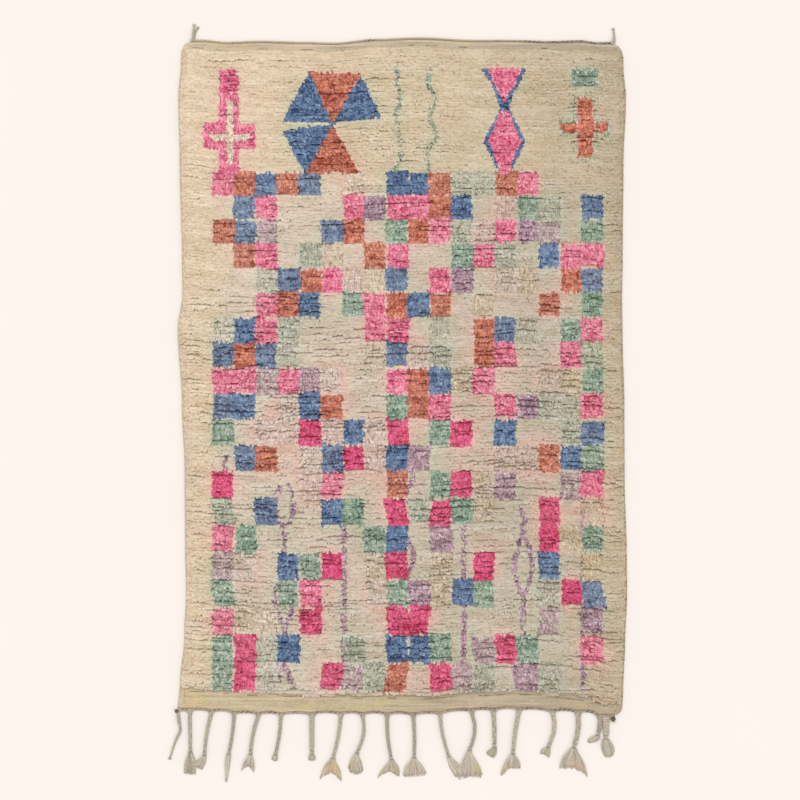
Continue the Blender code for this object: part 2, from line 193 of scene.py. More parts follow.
# The yarns of the pile, the undyed one first: the deep and the light of each
Yarn = namedtuple("Yarn", "name deep light")
YARNS = (
    Yarn("cream", deep="#BCA98E", light="#DDD1BB"),
    Yarn("blue", deep="#1E355E", light="#7690AF"),
    Yarn("pink", deep="#A92C57", light="#E497AC"),
    Yarn("rose", deep="#9A0B3A", light="#DC628F"),
    Yarn("brick", deep="#7C2D22", light="#CF8A73"),
    Yarn("sage", deep="#456957", light="#A8B7A8"),
    Yarn("mauve", deep="#694F60", light="#C2A6B3"),
    Yarn("ochre", deep="#8F6C3A", light="#D9C29A"),
)
CREAM = YARNS[0]
KIND = {yarn.name: number for number, yarn in enumerate(YARNS)}


def linear(colour):
    """A colour written as #RRGGBB, as the linear numbers that a shader takes."""
    parts = [int(colour[i : i + 2], 16) / 255 for i in (1, 3, 5)]
    return (*(c / 12.92 if c <= 0.04045 else ((c + 0.055) / 1.055) ** 2.4 for c in parts), 1.0)


def eased(at, rows, column):
    """A column of a table at places between its rows, in metres, eased from row to row."""
    places = [row.at for row in rows]
    values = np.array([getattr(row, column) for row in rows]) * MM
    step = np.interp(at, places, np.arange(len(rows)))
    below = np.minimum(step.astype(int), len(rows) - 2)
    share = (1 - np.cos(np.pi * (step - below))) / 2
    return values[below] + (values[below + 1] - values[below]) * share


def on_rug(x, y):
    """Where points of the straight rug lie once its edges wander and its corners round."""
    x, y = np.asarray(x, float), np.asarray(y, float)
    across = x / HALF_WIDTH
    along = y / HALF_LENGTH
    right = eased(y, SIDES, "right") * (1 + across) / 2
    left = eased(y, SIDES, "left") * (1 - across) / 2
    top = (eased(x, ENDS, "top") - TOP_DRAWN_IN) * (1 + along) / 2
    bottom = eased(x, ENDS, "bottom") * (1 - along) / 2
    into_corner = np.clip(1 - (HALF_LENGTH - y) / TOP_CORNER_HEIGHT, 0, 1)
    rounded = across * TOP_CORNER_RADIUS * (1 - np.sqrt(1 - into_corner**2))
    into_cut = np.clip(1 - (y + HALF_LENGTH) / CUT_CORNER, 0, 1)
    cut = CUT_CORNER * into_cut**1.5 * np.maximum(across, 0) ** 12
    return x + right - left - rounded - cut, y + top - bottom


def cad_shift():
    """From the straight rug's frame to the CAD's: the CAD's body box against the outline's."""
    low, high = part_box("rug_body")
    side, end = (np.linspace(-half, half, 400) for half in (HALF_LENGTH, HALF_WIDTH))
    left, right = (on_rug(x, side)[0] for x in (-HALF_WIDTH, HALF_WIDTH))
    bottom, top = (on_rug(end, y)[1] for y in (-HALF_LENGTH, HALF_LENGTH))
    across = (low.x + high.x - left.min() - right.max()) / 2
    along = (low.y + high.y - bottom.min() - top.max() - TOP_DRAWN_IN) / 2
    return np.array((across, along, 0.0))


SHIFT = cad_shift()


def value_noise(x, y, size_x, size_y, seed):
    """Smooth noise from -1 to 1, with lumps of about these sizes."""
    table = np.random.default_rng(seed).uniform(-1, 1, (NOISE_CELLS, NOISE_CELLS))
    u, v = np.asarray(x) / size_x, np.asarray(y) / size_y
    i, j = np.floor(u).astype(int), np.floor(v).astype(int)
    fu, fv = u - i, v - j
    fu, fv = fu * fu * (3 - 2 * fu), fv * fv * (3 - 2 * fv)
    i, j, next_i, next_j = (step % NOISE_CELLS for step in (i, j, i + 1, j + 1))
    near, far = table[i, j], table[i, next_j]
    near = near + (table[next_i, j] - near) * fu
    far = far + (table[next_i, next_j] - far) * fu
    return near + (far - near) * fv


def wavering(at, size, seed):
    """Smooth noise from -1 to 1 along one line of places."""
    return value_noise(at, at * 0, size, 1, seed)


def smooth_step(value, low, high):
    """From 0 at low to 1 at high, level at both ends."""
    share = np.clip((value - low) / (high - low), 0, 1)
    return share * share * (3 - 2 * share)


# Meshes of many strands


class Yarns:
    """Closed tubes of yarn, gathered into one mesh.

    Each point keeps its strand's tone and fade and how far along the strand it lies, and
    each strand has its own tile of the map OFBake.
    """

    def __init__(self):
        self.points, self.quads, self.caps, self.normals = [], [], [], []
        self.tone, self.along, self.fade = [], [], []
        self.quad_tiles, self.cap_tiles = [], []
        self.strands = self.count = 0

    def add(self, paths, radii, sides, tone, fade=0.0, turn=0.0, thin=1.0, reference=UP, soft=0.0):
        """Adds tubes along paths of (strands, rings, 3), or along one path of (rings, 3).

        Where soft is over 0, the upper half of a tube is shaded more as if it were flat.
        """
        paths = np.asarray(paths, float)
        paths = paths[None] if paths.ndim == 2 else paths
        strands, rings, _ = paths.shape
        radii = np.broadcast_to(radii, (strands, rings))[:, :, None, None]
        tangent = np.gradient(paths, axis=1)
        tangent /= np.linalg.norm(tangent, axis=2, keepdims=True)
        side = np.cross(tangent, reference)
        side /= np.maximum(np.linalg.norm(side, axis=2, keepdims=True), 1e-9)
        lift = np.cross(side, tangent)
        steps = 2 * np.pi * (np.arange(sides) + 0.5) / sides
        angles = (np.broadcast_to(turn, (strands,))[:, None] + steps)[:, None, :, None]
        offset = np.cos(angles) * side[:, :, None] * thin + np.sin(angles) * lift[:, :, None]
        self.points.append((paths[:, :, None] + radii * offset).reshape(-1, 3))
        if soft > 0:
            lit = soft * (np.cos(angles) > 0)
            normal = offset * (1 - lit) + side[:, :, None] * lit
            normal[:, -1] += tangent[:, -1, None] * 0.25
            normal /= np.linalg.norm(normal, axis=3, keepdims=True)
            self.normals.append(normal.reshape(-1, 3))
        self.add_faces(strands, rings, sides)
        for kept, value in ((self.tone, tone), (self.fade, fade)):
            kept.append(np.repeat(np.broadcast_to(value, (strands,)), rings * sides))
        self.along.append(np.tile(np.repeat(np.linspace(0, 1, rings), sides), strands))

    def add_faces(self, strands, rings, sides):
        """The faces of the tubes and their two ends, and each face's place on its tile."""
        first = self.count + np.arange(strands)[:, None, None] * rings * sides
        ring = np.arange(rings - 1)[None, :, None] * sides
        here, after = np.arange(sides), (np.arange(sides) + 1) % sides
        low, high = first + ring, first + ring + sides
        self.quads.append(np.stack([low + here, high + here, high + after, low + after], 3))
        ends = first[:, 0] + here, first[:, 0] + (rings - 1) * sides + here[::-1]
        self.caps.append(np.stack(ends, 1).reshape(-1, sides))
        u, v = here / sides, np.arange(rings - 1)[:, None] / (rings - 1)
        du, dv = 1 / sides, 1 / (rings - 1)
        u, v = np.broadcast_arrays(u, v)
        corners = [(u, v), (u, v + dv), (u + du, v + dv), (u + du, v)]
        tile = np.stack([np.stack(corner, 2) for corner in corners], 2)
        tile = tile * (0.9, 0.76) + (0.05, 0.12)
        self.quad_tiles.append((np.arange(strands) + self.strands, tile))
        round_it = 2 * np.pi * here / sides
        disc = np.stack([0.5 + 0.3 * np.cos(round_it), 0.05 + 0.04 * np.sin(round_it)], 1)
        cap = np.stack([disc, (disc + (0.0, 0.9))[::-1]])
        self.cap_tiles.append((np.arange(strands) + self.strands, cap))
        self.count += strands * rings * sides
        self.strands += strands

    def tiles(self):
        """The places of all the faces' corners on the map, in the order of the faces."""
        across = math.ceil(math.sqrt(self.strands))
        placed = []
        for kept in (self.quad_tiles, self.cap_tiles):
            for numbers, tile in kept:
                corner = np.stack([numbers % across, numbers // across], 1)
                spread = corner.reshape((-1,) + (1,) * (tile.ndim - 1) + (2,))
                placed.append(((spread + tile) / across).reshape(-1, 2))
        return np.concatenate(placed)

    def make(self, name, material, slot="wool_warp"):
        points = np.concatenate(self.points) + SHIFT
        quads = [quad.reshape(-1, 4) for quad in self.quads]
        faces = [(face, face.shape[1]) for face in quads + self.caps]
        corners = np.concatenate([face.ravel() for face, _ in faces])
        sizes = np.concatenate([np.full(len(face), size) for face, size in faces])
        mesh = bpy.data.meshes.new(name)
        mesh.vertices.add(len(points))
        mesh.vertices.foreach_set("co", points.astype(np.float32).ravel())
        mesh.loops.add(len(corners))
        mesh.loops.foreach_set("vertex_index", corners.astype(np.int32))
        mesh.polygons.add(len(sizes))
        mesh.polygons.foreach_set("loop_start", summed(sizes)[:-1].astype(np.int32))
        mesh.update(calc_edges=True)
        for label in ("tone", "along", "fade"):
            keep(mesh, label, np.concatenate(getattr(self, label)))
        layer = mesh.uv_layers.new(name="OFBake", do_init=False)
        layer.uv.foreach_set("vector", self.tiles().astype(np.float32).ravel())
        mesh.shade_smooth()
        if self.normals:
            mesh.normals_split_custom_set_from_vertices(np.concatenate(self.normals).tolist())
        return piece(name, mesh, material)


def placed(name, data):
    """A new object in the scene, with this mesh, lamp or camera."""
    obj = bpy.data.objects.new(name, data)
    bpy.context.scene.collection.objects.link(obj)
    return obj


def keep(mesh, label, values):
    """Keeps a number for each of a mesh's points, for its material to read."""
    layer = mesh.attributes.new(label, "FLOAT", "POINT")
    layer.data.foreach_set("value", values.astype(np.float32))


def piece(name, mesh, material):
    """An object of the rug, which rides on its one body."""
    obj = placed(name, mesh)
    mesh.materials.append(material)
    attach(obj, "root")
    return obj


def grid_faces(rows, columns):
    """The numbers of a grid's points, and the corners of its faces."""
    number = np.arange(rows * columns).reshape(rows, columns)
    quads = np.stack([number[:-1, :-1], number[:-1, 1:], number[1:, 1:], number[1:, :-1]], 2)
    return number, quads.reshape(-1, 4).tolist()


def in_space(x, y, z):
    """Places from their coordinates, any of which may be one number for all of them."""
    return np.stack(np.broadcast_arrays(x, y, z), -1)


def summed(steps):
    """The sums of a row of steps as it goes on, from 0."""
    return np.concatenate([[0], np.cumsum(steps)])


def run_along(path):
    """How far along a path each of its points lies."""
    return summed(np.linalg.norm(np.diff(path, axis=0), axis=1))


def directions(path):
    """The way that a path heads at each of its points."""
    tangent = np.gradient(path, axis=0)
    return tangent / np.linalg.norm(tangent, axis=1, keepdims=True)


def curve_through(points, count):
    """count places evenly along a smooth curve through a few points."""
    points = np.asarray(points, float)
    ends = 2 * points[0] - points[1], 2 * points[-1] - points[-2]
    p = np.vstack([ends[0], points, ends[1]])
    at = np.linspace(0, len(points) - 1 - 1e-9, 40 * len(points))
    i = at.astype(int)
    t = (at - i)[:, None]
    a, b, c, d = p[i], p[i + 1], p[i + 2], p[i + 3]
    fine = b + 0.5 * t * (c - a + t * (2 * a - 5 * b + 4 * c - d + t * (3 * (b - c) + d - a)))
    run = run_along(fine)
    even = np.linspace(0, run[-1], count)
    return np.stack([np.interp(even, run, fine[:, k]) for k in range(fine.shape[1])], 1)


def twisted(path, reach, turn, plies, height=None):
    """The paths of plies that wind round a line, reach from it, once in each turn."""
    run = run_along(path)
    side = np.cross(directions(path), UP)
    side /= np.linalg.norm(side, axis=1, keepdims=True)
    reach = np.broadcast_to(reach, (len(path),))[:, None]
    height = reach if height is None else np.broadcast_to(height, (len(path),))[:, None]
    wound = []
    for ply in range(plies):
        angle = (2 * np.pi * (run / turn + ply / plies))[:, None]
        wound.append(path + side * reach * np.cos(angle) + height * np.sin(angle) * UP)
    return np.array(wound)


# The pattern


def inside(corners, x, y):
    """Which of the points lie inside a polygon."""
    found = np.zeros(x.shape, bool)
    for (x0, y0), (x1, y1) in zip(corners, corners[1:] + corners[:1]):
        if y0 != y1:
            crosses = (y0 > y) != (y1 > y)
            found ^= crosses & (x < (x1 - x0) * (y - y0) / (y1 - y0) + x0)
    return found


def upright(x, y, width, height, lean=0.0):
    """A rectangle round a middle, leaning aside by lean over its height."""
    w, h, s = width / 2, height / 2, lean / 2
    return [(x - w - s, y - h), (x + w - s, y - h), (x + w + s, y + h), (x - w + s, y + h)]


class Pattern:
    """The yarn and the fade of every lock. Places and sizes here are in millimetres."""

    def __init__(self, x, y, rng):
        self.x, self.y = x / MM, y / MM
        self.kind = np.zeros(x.shape, int)
        self.fade = np.zeros(x.shape)
        self.chance = rng.random(x.shape)

    def fill(self, yarn, mask, fade=0.0, share=1.0):
        mask = mask & (self.chance < share)
        self.kind[mask] = KIND[yarn]
        self.fade[mask] = np.broadcast_to(fade, mask.shape)[mask]

    def shape(self, yarn, corners, fade=0.0, share=1.0):
        self.fill(yarn, inside(corners, self.x, self.y), fade, share)


# The row of symbols along the top, in millimetres from the rug's middle
SYMBOL_TOP = 1098
SYMBOL_FOOT = 722

Block = namedtuple("Block", "yarn x y width height fade share", defaults=[0.0, 1.0])
BLOCKS = (
    # A pink cross on a long foot, with a pale line inside
    Block("pink", -625, 910, 70, 376),
    Block("pink", -623, 863, 188, 94),
    Block("sage", -621, 878, 23, 226, fade=0.92),
    Block("sage", -621, 862, 140, 20, fade=0.92),
    # A sage square over a brick cross that stands in a sage halo
    Block("sage", 656, 892, 96, 246, fade=0.80, share=0.8),
    Block("sage", 656, 893, 188, 62, fade=0.42, share=0.9),
    Block("sage", 655, 1070, 92, 66, fade=0.08),
    Block("brick", 657, 894, 54, 212),
    Block("brick", 655, 894, 168, 32),
)

# A fan: the angle and radius of the tips above and below its middle, and the yarns between
FAN_MIDDLE = (-252, 906)
FAN = (
    (((176, 182), (114, 205), (60, 205), (8, 176)), ("blue", "brick", "blue")),
    (((187, 182), (241, 203), (299, 200)), ("blue", "brick")),
)


def blocks(pattern):
    """The two symbols that are made of rectangles."""
    for block in BLOCKS:
        corners = upright(block.x, block.y, block.width, block.height)
        pattern.shape(block.yarn, corners, block.fade, block.share)


def fan(pattern):
    """Five triangles that meet in one point, three above and two below."""
    x, y = FAN_MIDDLE
    for reach, yarns in FAN:
        turned = [(math.radians(angle), radius) for angle, radius in reach]
        tips = [(x + math.cos(a) * r, y + math.sin(a) * r) for a, r in turned]
        for yarn, one, other in zip(yarns, tips, tips[1:]):
            pattern.shape(yarn, [(x, y), one, other])


# Where the two water lines stand, and the seed of their wavering
WATER_LINES = ((-14, 60), (104, 61))


def water_lines(pattern):
    """Two wavering sage lines that fade and come back."""
    span = (pattern.y > SYMBOL_FOOT + 8) & (pattern.y < SYMBOL_TOP + 10)
    for x, seed in WATER_LINES:
        line = x + 17 * wavering(pattern.y, 62, seed)
        fade = 0.38 - 0.38 * wavering(pattern.y, 70, seed + 5)
        pattern.fill("sage", span & (np.abs(pattern.x - line) < 9), fade=fade, share=0.86)


# A pink triangle on a pink diamond, both edged in blue: at each height, half the width
HOURGLASS_MIDDLE = 367
HOURGLASS = (
    ("blue", ((1106, 84), (1060, 53), (974, 20), (955, 20), (846, 77), (735, 24))),
    ("pink", ((1110, 63), (1051, 38), (988, 3))),
    ("pink", ((955, 14), (846, 59), (730, 14))),
)


def hourglass(pattern):
    """The triangle on the diamond, each as wide to the left as to the right."""
    for yarn, half_widths in HOURGLASS:
        left = [(HOURGLASS_MIDDLE - half, y) for y, half in half_widths]
        right = [(HOURGLASS_MIDDLE + half, y) for y, half in reversed(half_widths)]
        pattern.shape(yarn, left + right)


# The field of squares below the symbols: a plain rule lays them on a lattice. Below certain
# rows come the low pairs, rose for some of the pink, and squares at the left edge
FIELD_LEFT = -684
FIELD_TOP = 733
COLUMNS = 18
COLUMN = 78.2
ROWS = 20
TOP_ROW = 85
BOTTOM_ROW = 102
SPINE = 8
LOW_BELOW = 11
ROSE_BELOW = 9
LEFT_BELOW = 7
PAIRS = "brick blue, blue pink, pink brick blue, blue brick, pink mauve, sage pink, brick pink"
LOW_PAIRS = "pink sage, blue, pink, sage pink, blue sage, pink, mauve"
SPINE_YARNS = ("blue", "pink", "sage", "pink", "blue", "brick", "pink")
EDGE_YARNS = ("pink", "blue", "sage")
FAINT = (
    ("sage", 0.45), ("mauve", 0.30), ("sage", 0.65),
    ("pink", 0.82), ("ochre", 0.7), ("pink", 0.86),
)


def lay_squares(rng):
    """Which yarn, and how faded, each square of the lattice has, by column and row."""
    squares = {}
    for row in range(ROWS):
        table = (LOW_PAIRS if row > LOW_BELOW else PAIRS).split(", ")
        for group in range(4):
            column = (2 + 5 * row + 5 * group + rng.randint(0, 2)) % COLUMNS
            for step, yarn in enumerate(table[(row * 2 + group * 3) % len(table)].split()):
                if rng.random() < 0.92:
                    squares[(column + step) % COLUMNS, row] = (yarn, 0.0)
        if rng.random() < 0.85:
            squares[SPINE, row] = (SPINE_YARNS[row % len(SPINE_YARNS)], 0.0)
        if rng.random() < 0.65:
            squares[COLUMNS - 1, row] = (EDGE_YARNS[row % len(EDGE_YARNS)], 0.05)
        if row > LEFT_BELOW and rng.random() < 0.6:
            squares[0, row] = (EDGE_YARNS[(row + 1) % len(EDGE_YARNS)], 0.05)
        for column in range(COLUMNS):
            if (column, row) not in squares and rng.random() < 0.40:
                squares[column, row] = rng.choice(FAINT)
    return squares


def field(pattern):
    """The squares, a little uneven in size, and leaning in the lower half."""
    rng = random.Random(SEED)
    heights = np.linspace(TOP_ROW, BOTTOM_ROW, ROWS)
    tops = FIELD_TOP - summed(heights)
    for (column, row), (yarn, fade) in sorted(lay_squares(rng).items()):
        if yarn == "pink" and row > ROSE_BELOW and fade == 0.0 and rng.random() < 0.75:
            yarn = "rose"
        x = FIELD_LEFT + (column + 0.5) * COLUMN + rng.uniform(-4, 4)
        y = tops[row] - heights[row] / 2 + rng.uniform(-4, 4)
        leans = row > LOW_BELOW and rng.random() < 0.4
        lean = rng.uniform(-26, 26) if leans else rng.uniform(-5, 5)
        width = COLUMN + rng.uniform(-5, 4)
        height = heights[row] + rng.uniform(-6, 3)
        share = 1.0 if fade < 0.1 else 0.94
        pattern.shape(yarn, upright(x, y, width, height, lean), fade + rng.uniform(0, 0.12), share)


LOZENGE_TOP = -300
LOZENGE_FOOT = -1130
LOZENGE_LINES = 7
LOZENGE_LEFT = -640
LOZENGE_STEP = 215
LOZENGE_LENGTH = 310
LOZENGE_OPENING = 34


def lozenge_lines(pattern):
    """Thin broken mauve lines down the lower third, in pairs that open and close."""
    for line in range(LOZENGE_LINES):
        x = LOZENGE_LEFT + line * LOZENGE_STEP
        period = LOZENGE_LENGTH + 30 * (line % 3)
        swing = np.abs((pattern.y / period + 0.37 * line) % 1 - 0.5) * 2
        opened = LOZENGE_OPENING * smooth_step(swing, 0.25, 1.0) * (line % 2)
        for side in (-1, 1):
            near = np.abs(pattern.x - x - side * opened) < 9.5
            span = (pattern.y < LOZENGE_TOP - 90 * (line % 3)) & (pattern.y > LOZENGE_FOOT)
            free = pattern.kind == KIND["cream"]
            pattern.fill("mauve", near & span & free, share=0.85)


def draw_pattern(x, y, rng):
    """The yarn and fade of locks whose pile shows at these places."""
    x, y = x + rng.normal(0, 0.0008, x.shape), y + rng.normal(0, 0.0010, y.shape)
    pattern = Pattern(x, y, rng)
    field(pattern)
    lozenge_lines(pattern)
    for symbol in (blocks, fan, water_lines, hourglass):
        symbol(pattern)
    return pattern.kind, pattern.fade


# The pile


def bottom_inset(x):
    """How far up from the bottom edge the first knots stand: least at the right corner."""
    places, insets = zip(*BOTTOM_INSETS)
    return np.interp(x, places, insets)


def in_pile(x, y):
    """How far places of the straight rug lie inside the outermost knots."""
    across = HALF_WIDTH - np.abs(x) - SIDE_INSET
    down, up = HALF_LENGTH - y - TOP_INSET, y + HALF_LENGTH - bottom_inset(x)
    return np.minimum(across, np.minimum(down, up))


def knot_grid():
    """The straight rug's knots, as rows and columns of places."""
    row = np.arange(LEAST_BOTTOM_INSET - HALF_LENGTH, HALF_LENGTH - TOP_INSET, ROW_PITCH)
    column = np.arange(SIDE_INSET - HALF_WIDTH, HALF_WIDTH - SIDE_INSET, KNOT_PITCH)
    y, x = np.meshgrid(row, column, indexing="ij")
    half_step = (np.arange(len(row)) % 2)[:, None] * KNOT_PITCH / 2
    return x + half_step, y


def roughness(x, y):
    """How shaggy the pile is: calm along the top, rougher further down and in patches."""
    rough = 0.21 + 0.43 * smooth_step(-y, -0.75, 0.35)
    rough = rough + 0.16 * smooth_step(np.abs(x), 0.60, 0.74) * smooth_step(-y, -0.80, -0.20)
    return np.clip(rough + 0.38 * value_noise(x, y, 0.11, 0.085, 2), 0.12, 1.1)


def parted(x, rough, dyed):
    """Where the locks stand up and leave a furrow below them, row by row."""
    row = np.broadcast_to(np.arange(len(x))[:, None], x.shape)
    parting = value_noise(x, row, 0.075, 1, 3) + 0.4 * value_noise(x, row, 0.025, 1, 4)
    parting = parting + 0.45 * value_noise(x, row, 0.40, 1, 9)
    parting = parting + 0.55 * (rough - 0.72) + 0.20 * dyed
    return smooth_step(parting, 0.35, 0.90) * np.clip(0.12 + rough, 0, 1)


def pile_locks():
    """The path of every lock, with its tone, yarn, fade and turn.

    A lock shows the yarn of the place SHOWN_AT of the way along its lean.
    """
    rng = np.random.default_rng(SEED)
    x, y = knot_grid()

    def uneven(amount):
        return rng.normal(0, amount, x.shape)

    inner = in_pile(x, y)
    y = y + 0.0035 * value_noise(x, y, 0.16, 0.05, 1)
    x = x + uneven(0.0008)
    y = y + uneven(0.0009)
    nominal = on_rug(x, y - SHOWN_AT * LOCK_LEAN)
    dyed = draw_pattern(*nominal, np.random.default_rng(SEED + 2))[0] != KIND["cream"]
    rough = roughness(x, y) + 0.30 * dyed
    # Tufts of three neighbours lie together
    rows, columns = x.shape
    tuft = (np.arange(columns) + rng.integers(0, 4, (rows, 1))) // 3

    def by_tuft(amount):
        drawn = rng.normal(0, amount, (rows, tuft.max() + 1))
        return np.take_along_axis(drawn, tuft, 1)

    tuft_aside, tuft_along, tuft_height = map(by_tuft, (0.0024, 0.0016, 0.0007))
    to_middle = ((tuft * 3 + 1) - np.arange(columns)) * KNOT_PITCH * 0.20
    # The pile lies towards the fringe, and parts where neighbouring rows lie unlike
    stood_up = parted(x, rough, dyed)
    sweep = value_noise(x, y, 0.30, 0.22, 5)
    lean = -LOCK_LEAN * (1 + 0.12 * sweep) * (1 - 0.42 * stood_up) + rough * tuft_along
    lean = lean + uneven(0.0014)
    combed = 1 - 0.5 * smooth_step(np.abs(x), 0.58, 0.72)
    aside = rough * combed * (tuft_aside + to_middle) + 0.004 * value_noise(x, y, 0.14, 0.20, 6)
    aside = aside + uneven(0.0010) * (0.3 + rough)
    tip = TIP_HEIGHT + 0.0028 * stood_up + rough * tuft_height
    tip = tip + uneven(0.0004) + 0.0012 * value_noise(x, y, 0.10, 0.09, 7)
    # Towards the woven edges the pile thins out
    full = smooth_step(inner, -0.002, 0.022)
    tip = EDGE_TIP_HEIGHT + (tip - EDGE_TIP_HEIGHT) * (0.35 + 0.65 * full)
    foot = ROOT_HEIGHT * (0.5 + 0.5 * full)
    root_x, root_y = on_rug(x, y)
    root = in_space(root_x, root_y, foot)
    reach = in_space(aside, lean, tip - foot)
    bulge = 0.90 - 0.18 * np.clip(rough, 0, 1)
    middle = root + reach * in_space(0.45, 0.45, bulge)
    paths = np.stack([root, middle, root + reach], 2)
    tone = 0.5 + (0.22 - 0.09 * dyed) * value_noise(x, y, 0.09, 0.012, 8)
    tone = tone + uneven(0.035)
    tone = tone + by_tuft(0.035) * (1 + 0.7 * dyed) + dyed * uneven(0.09)
    kind, fade = draw_pattern(root_x + 0.6 * aside, root_y + SHOWN_AT * lean, rng)
    fade = np.where(kind == KIND["cream"], bled(kind), fade)
    turn = uneven(LOCK_TURN_SPREAD)
    tied = inner > -ROW_PITCH / 4
    return [values[tied] for values in (paths, np.clip(tone, 0, 1), kind, fade, turn)]


def spread(amount, rows, columns):
    """An amount of the grid's places, averaged over so many rows and columns round each."""
    for axis, reach in ((0, rows), (1, columns)):
        steps = range(-reach, reach + 1)
        amount = sum(np.roll(amount, step, axis) for step in steps) / len(steps)
    return amount


def bled(kind):
    """How far dye has bled into the wool at each knot: pink over 0, green and blue below."""
    warm = np.isin(kind, [KIND["pink"], KIND["rose"], KIND["brick"]]).astype(float)
    cool = np.isin(kind, [KIND["sage"], KIND["blue"], KIND["mauve"]]).astype(float)
    lower = smooth_step(-np.arange(len(kind))[:, None] / len(kind), -0.75, -0.35)
    warm_share = spread(spread(warm, 4, 7), 3, 6) * (0.5 + 1.2 * lower)
    warm_share = warm_share + spread(spread(warm, 1, 2), 1, 1) * 0.75
    cool_share = spread(spread(cool, 3, 5), 2, 4) * 0.7 + spread(spread(cool, 1, 2), 1, 1) * 0.6
    return np.clip(warm_share - cool_share, -1, 1)


def pile_pieces():
    """The pile as one piece for each yarn, and for cream one for each band of rows."""
    paths, tone, kind, fade, turn = pile_locks()
    swell = 1 + 0.12 * np.sin(turn * 30)
    radii = np.array([LOCK_ROOT_RADIUS, LOCK_MIDDLE_RADIUS, LOCK_TIP_RADIUS]) * swell[:, None]
    made = []
    for number, yarn in enumerate(YARNS):
        locks = np.flatnonzero(kind == number)
        bands = max(1, math.ceil(len(locks) / MOST_LOCKS_A_PIECE))
        material = pile_wool(yarn)
        for band, chosen in enumerate(np.array_split(locks, bands)):
            yarns = Yarns()
            shades = tone[chosen], fade[chosen], turn[chosen], LOCK_THINNESS, ALONG_X
            yarns.add(paths[chosen], radii[chosen], LOCK_SIDES, *shades, soft=LOCK_SOFTNESS)
            label = f"pile_{yarn.name}" + (f"_{band + 1}" if bands > 1 else "")
            made.append(yarns.make(label, material, "wool_pile"))
    return made


# Materials


class Shader:
    """A material's node tree, built by short calls. A colour may be written as #RRGGBB."""

    def __init__(self, name, roughness=0.95, sheen=0.12):
        self.material = bpy.data.materials.new(name)
        self.material.use_nodes = True
        self.tree = self.material.node_tree
        self.out = self.tree.nodes["Principled BSDF"]
        self.out.inputs["Roughness"].default_value = roughness
        self.out.inputs["Sheen Weight"].default_value = sheen
        self.out.inputs["Specular IOR Level"].default_value = 0.25
        self.place = self.node("ShaderNodeTexCoord").outputs["Object"]

    def put(self, socket, value):
        if isinstance(value, bpy.types.NodeSocket):
            self.tree.links.new(value, socket)
        else:
            socket.default_value = linear(value) if isinstance(value, str) else value

    def node(self, kind, *values):
        """A new node, with values or other nodes' outputs for its first sockets."""
        node = self.tree.nodes.new(kind)
        for socket, value in zip(node.inputs, values):
            self.put(socket, value)
        return node

    def attribute(self, name, output="Fac"):
        node = self.node("ShaderNodeAttribute")
        node.attribute_name = name
        return node.outputs[output]

    def axis(self, number):
        return self.node("ShaderNodeSeparateXYZ", self.place).outputs[number]

    def noise(self, scale, detail=2.0, stretch=(1, 1, 1)):
        mapping = self.node("ShaderNodeMapping", self.place)
        mapping.inputs["Scale"].default_value = stretch
        node = self.node("ShaderNodeTexNoise", mapping.outputs[0])
        node.inputs["Scale"].default_value = scale
        node.inputs["Detail"].default_value = detail
        return node.outputs["Fac"]

    def patches(self, low, high, to_low, to_high, *look):
        """Noise with this look, from one number to another between low and high."""
        return self.ranged(self.noise(*look), low, high, to_low, to_high)

    def math(self, operation, a, b=0.0):
        node = self.node("ShaderNodeMath", a, b)
        node.operation = operation
        return node.outputs[0]

    def ranged(self, value, low, high, to_low=0.0, to_high=1.0):
        return self.node("ShaderNodeMapRange", value, low, high, to_low, to_high).outputs[0]

    def mix(self, share, a, b, blend="MIX"):
        node = self.node("ShaderNodeMix")
        node.data_type = "RGBA"
        node.blend_type = blend
        for number, value in ((0, share), (6, a), (7, b)):
            self.put(node.inputs[number], value)
        return node.outputs[2]

    def scaled(self, colour, amount):
        """A colour times a number."""
        node = self.node("ShaderNodeVectorMath", colour)
        node.operation = "SCALE"
        self.put(node.inputs["Scale"], amount)
        return node.outputs[0]

    def bump(self, height, distance, strength=0.6):
        node = self.node("ShaderNodeBump")
        node.inputs["Strength"].default_value = strength
        node.inputs["Distance"].default_value = distance
        self.put(node.inputs["Height"], height)
        self.put(self.out.inputs["Normal"], node.outputs[0])

    def finish(self, colour):
        self.put(self.out.inputs["Base Color"], colour)
        return self.material


PALE_DEEP = "#B5A78D"
PALE_LIGHT = "#E0D6C5"

# Washes of dye in the cream wool: the scale of their patches, their colour and their extent
WASHES = ((5.2, "#C9A08D", 0.54), (6.1, "#A7AE92", 0.57), (3.4, "#C2A16C", 0.60))
WARP_STAINS = ((8.0, "#B9B07C", 0.56), (11.0, "#CDB09A", 0.60))

# Multiplied with a wool's linear colour
GREYED = (0.945, 0.975, 1.09, 1.0)
TOP_PALER = (1.06, 1.12, 1.22, 1.0)


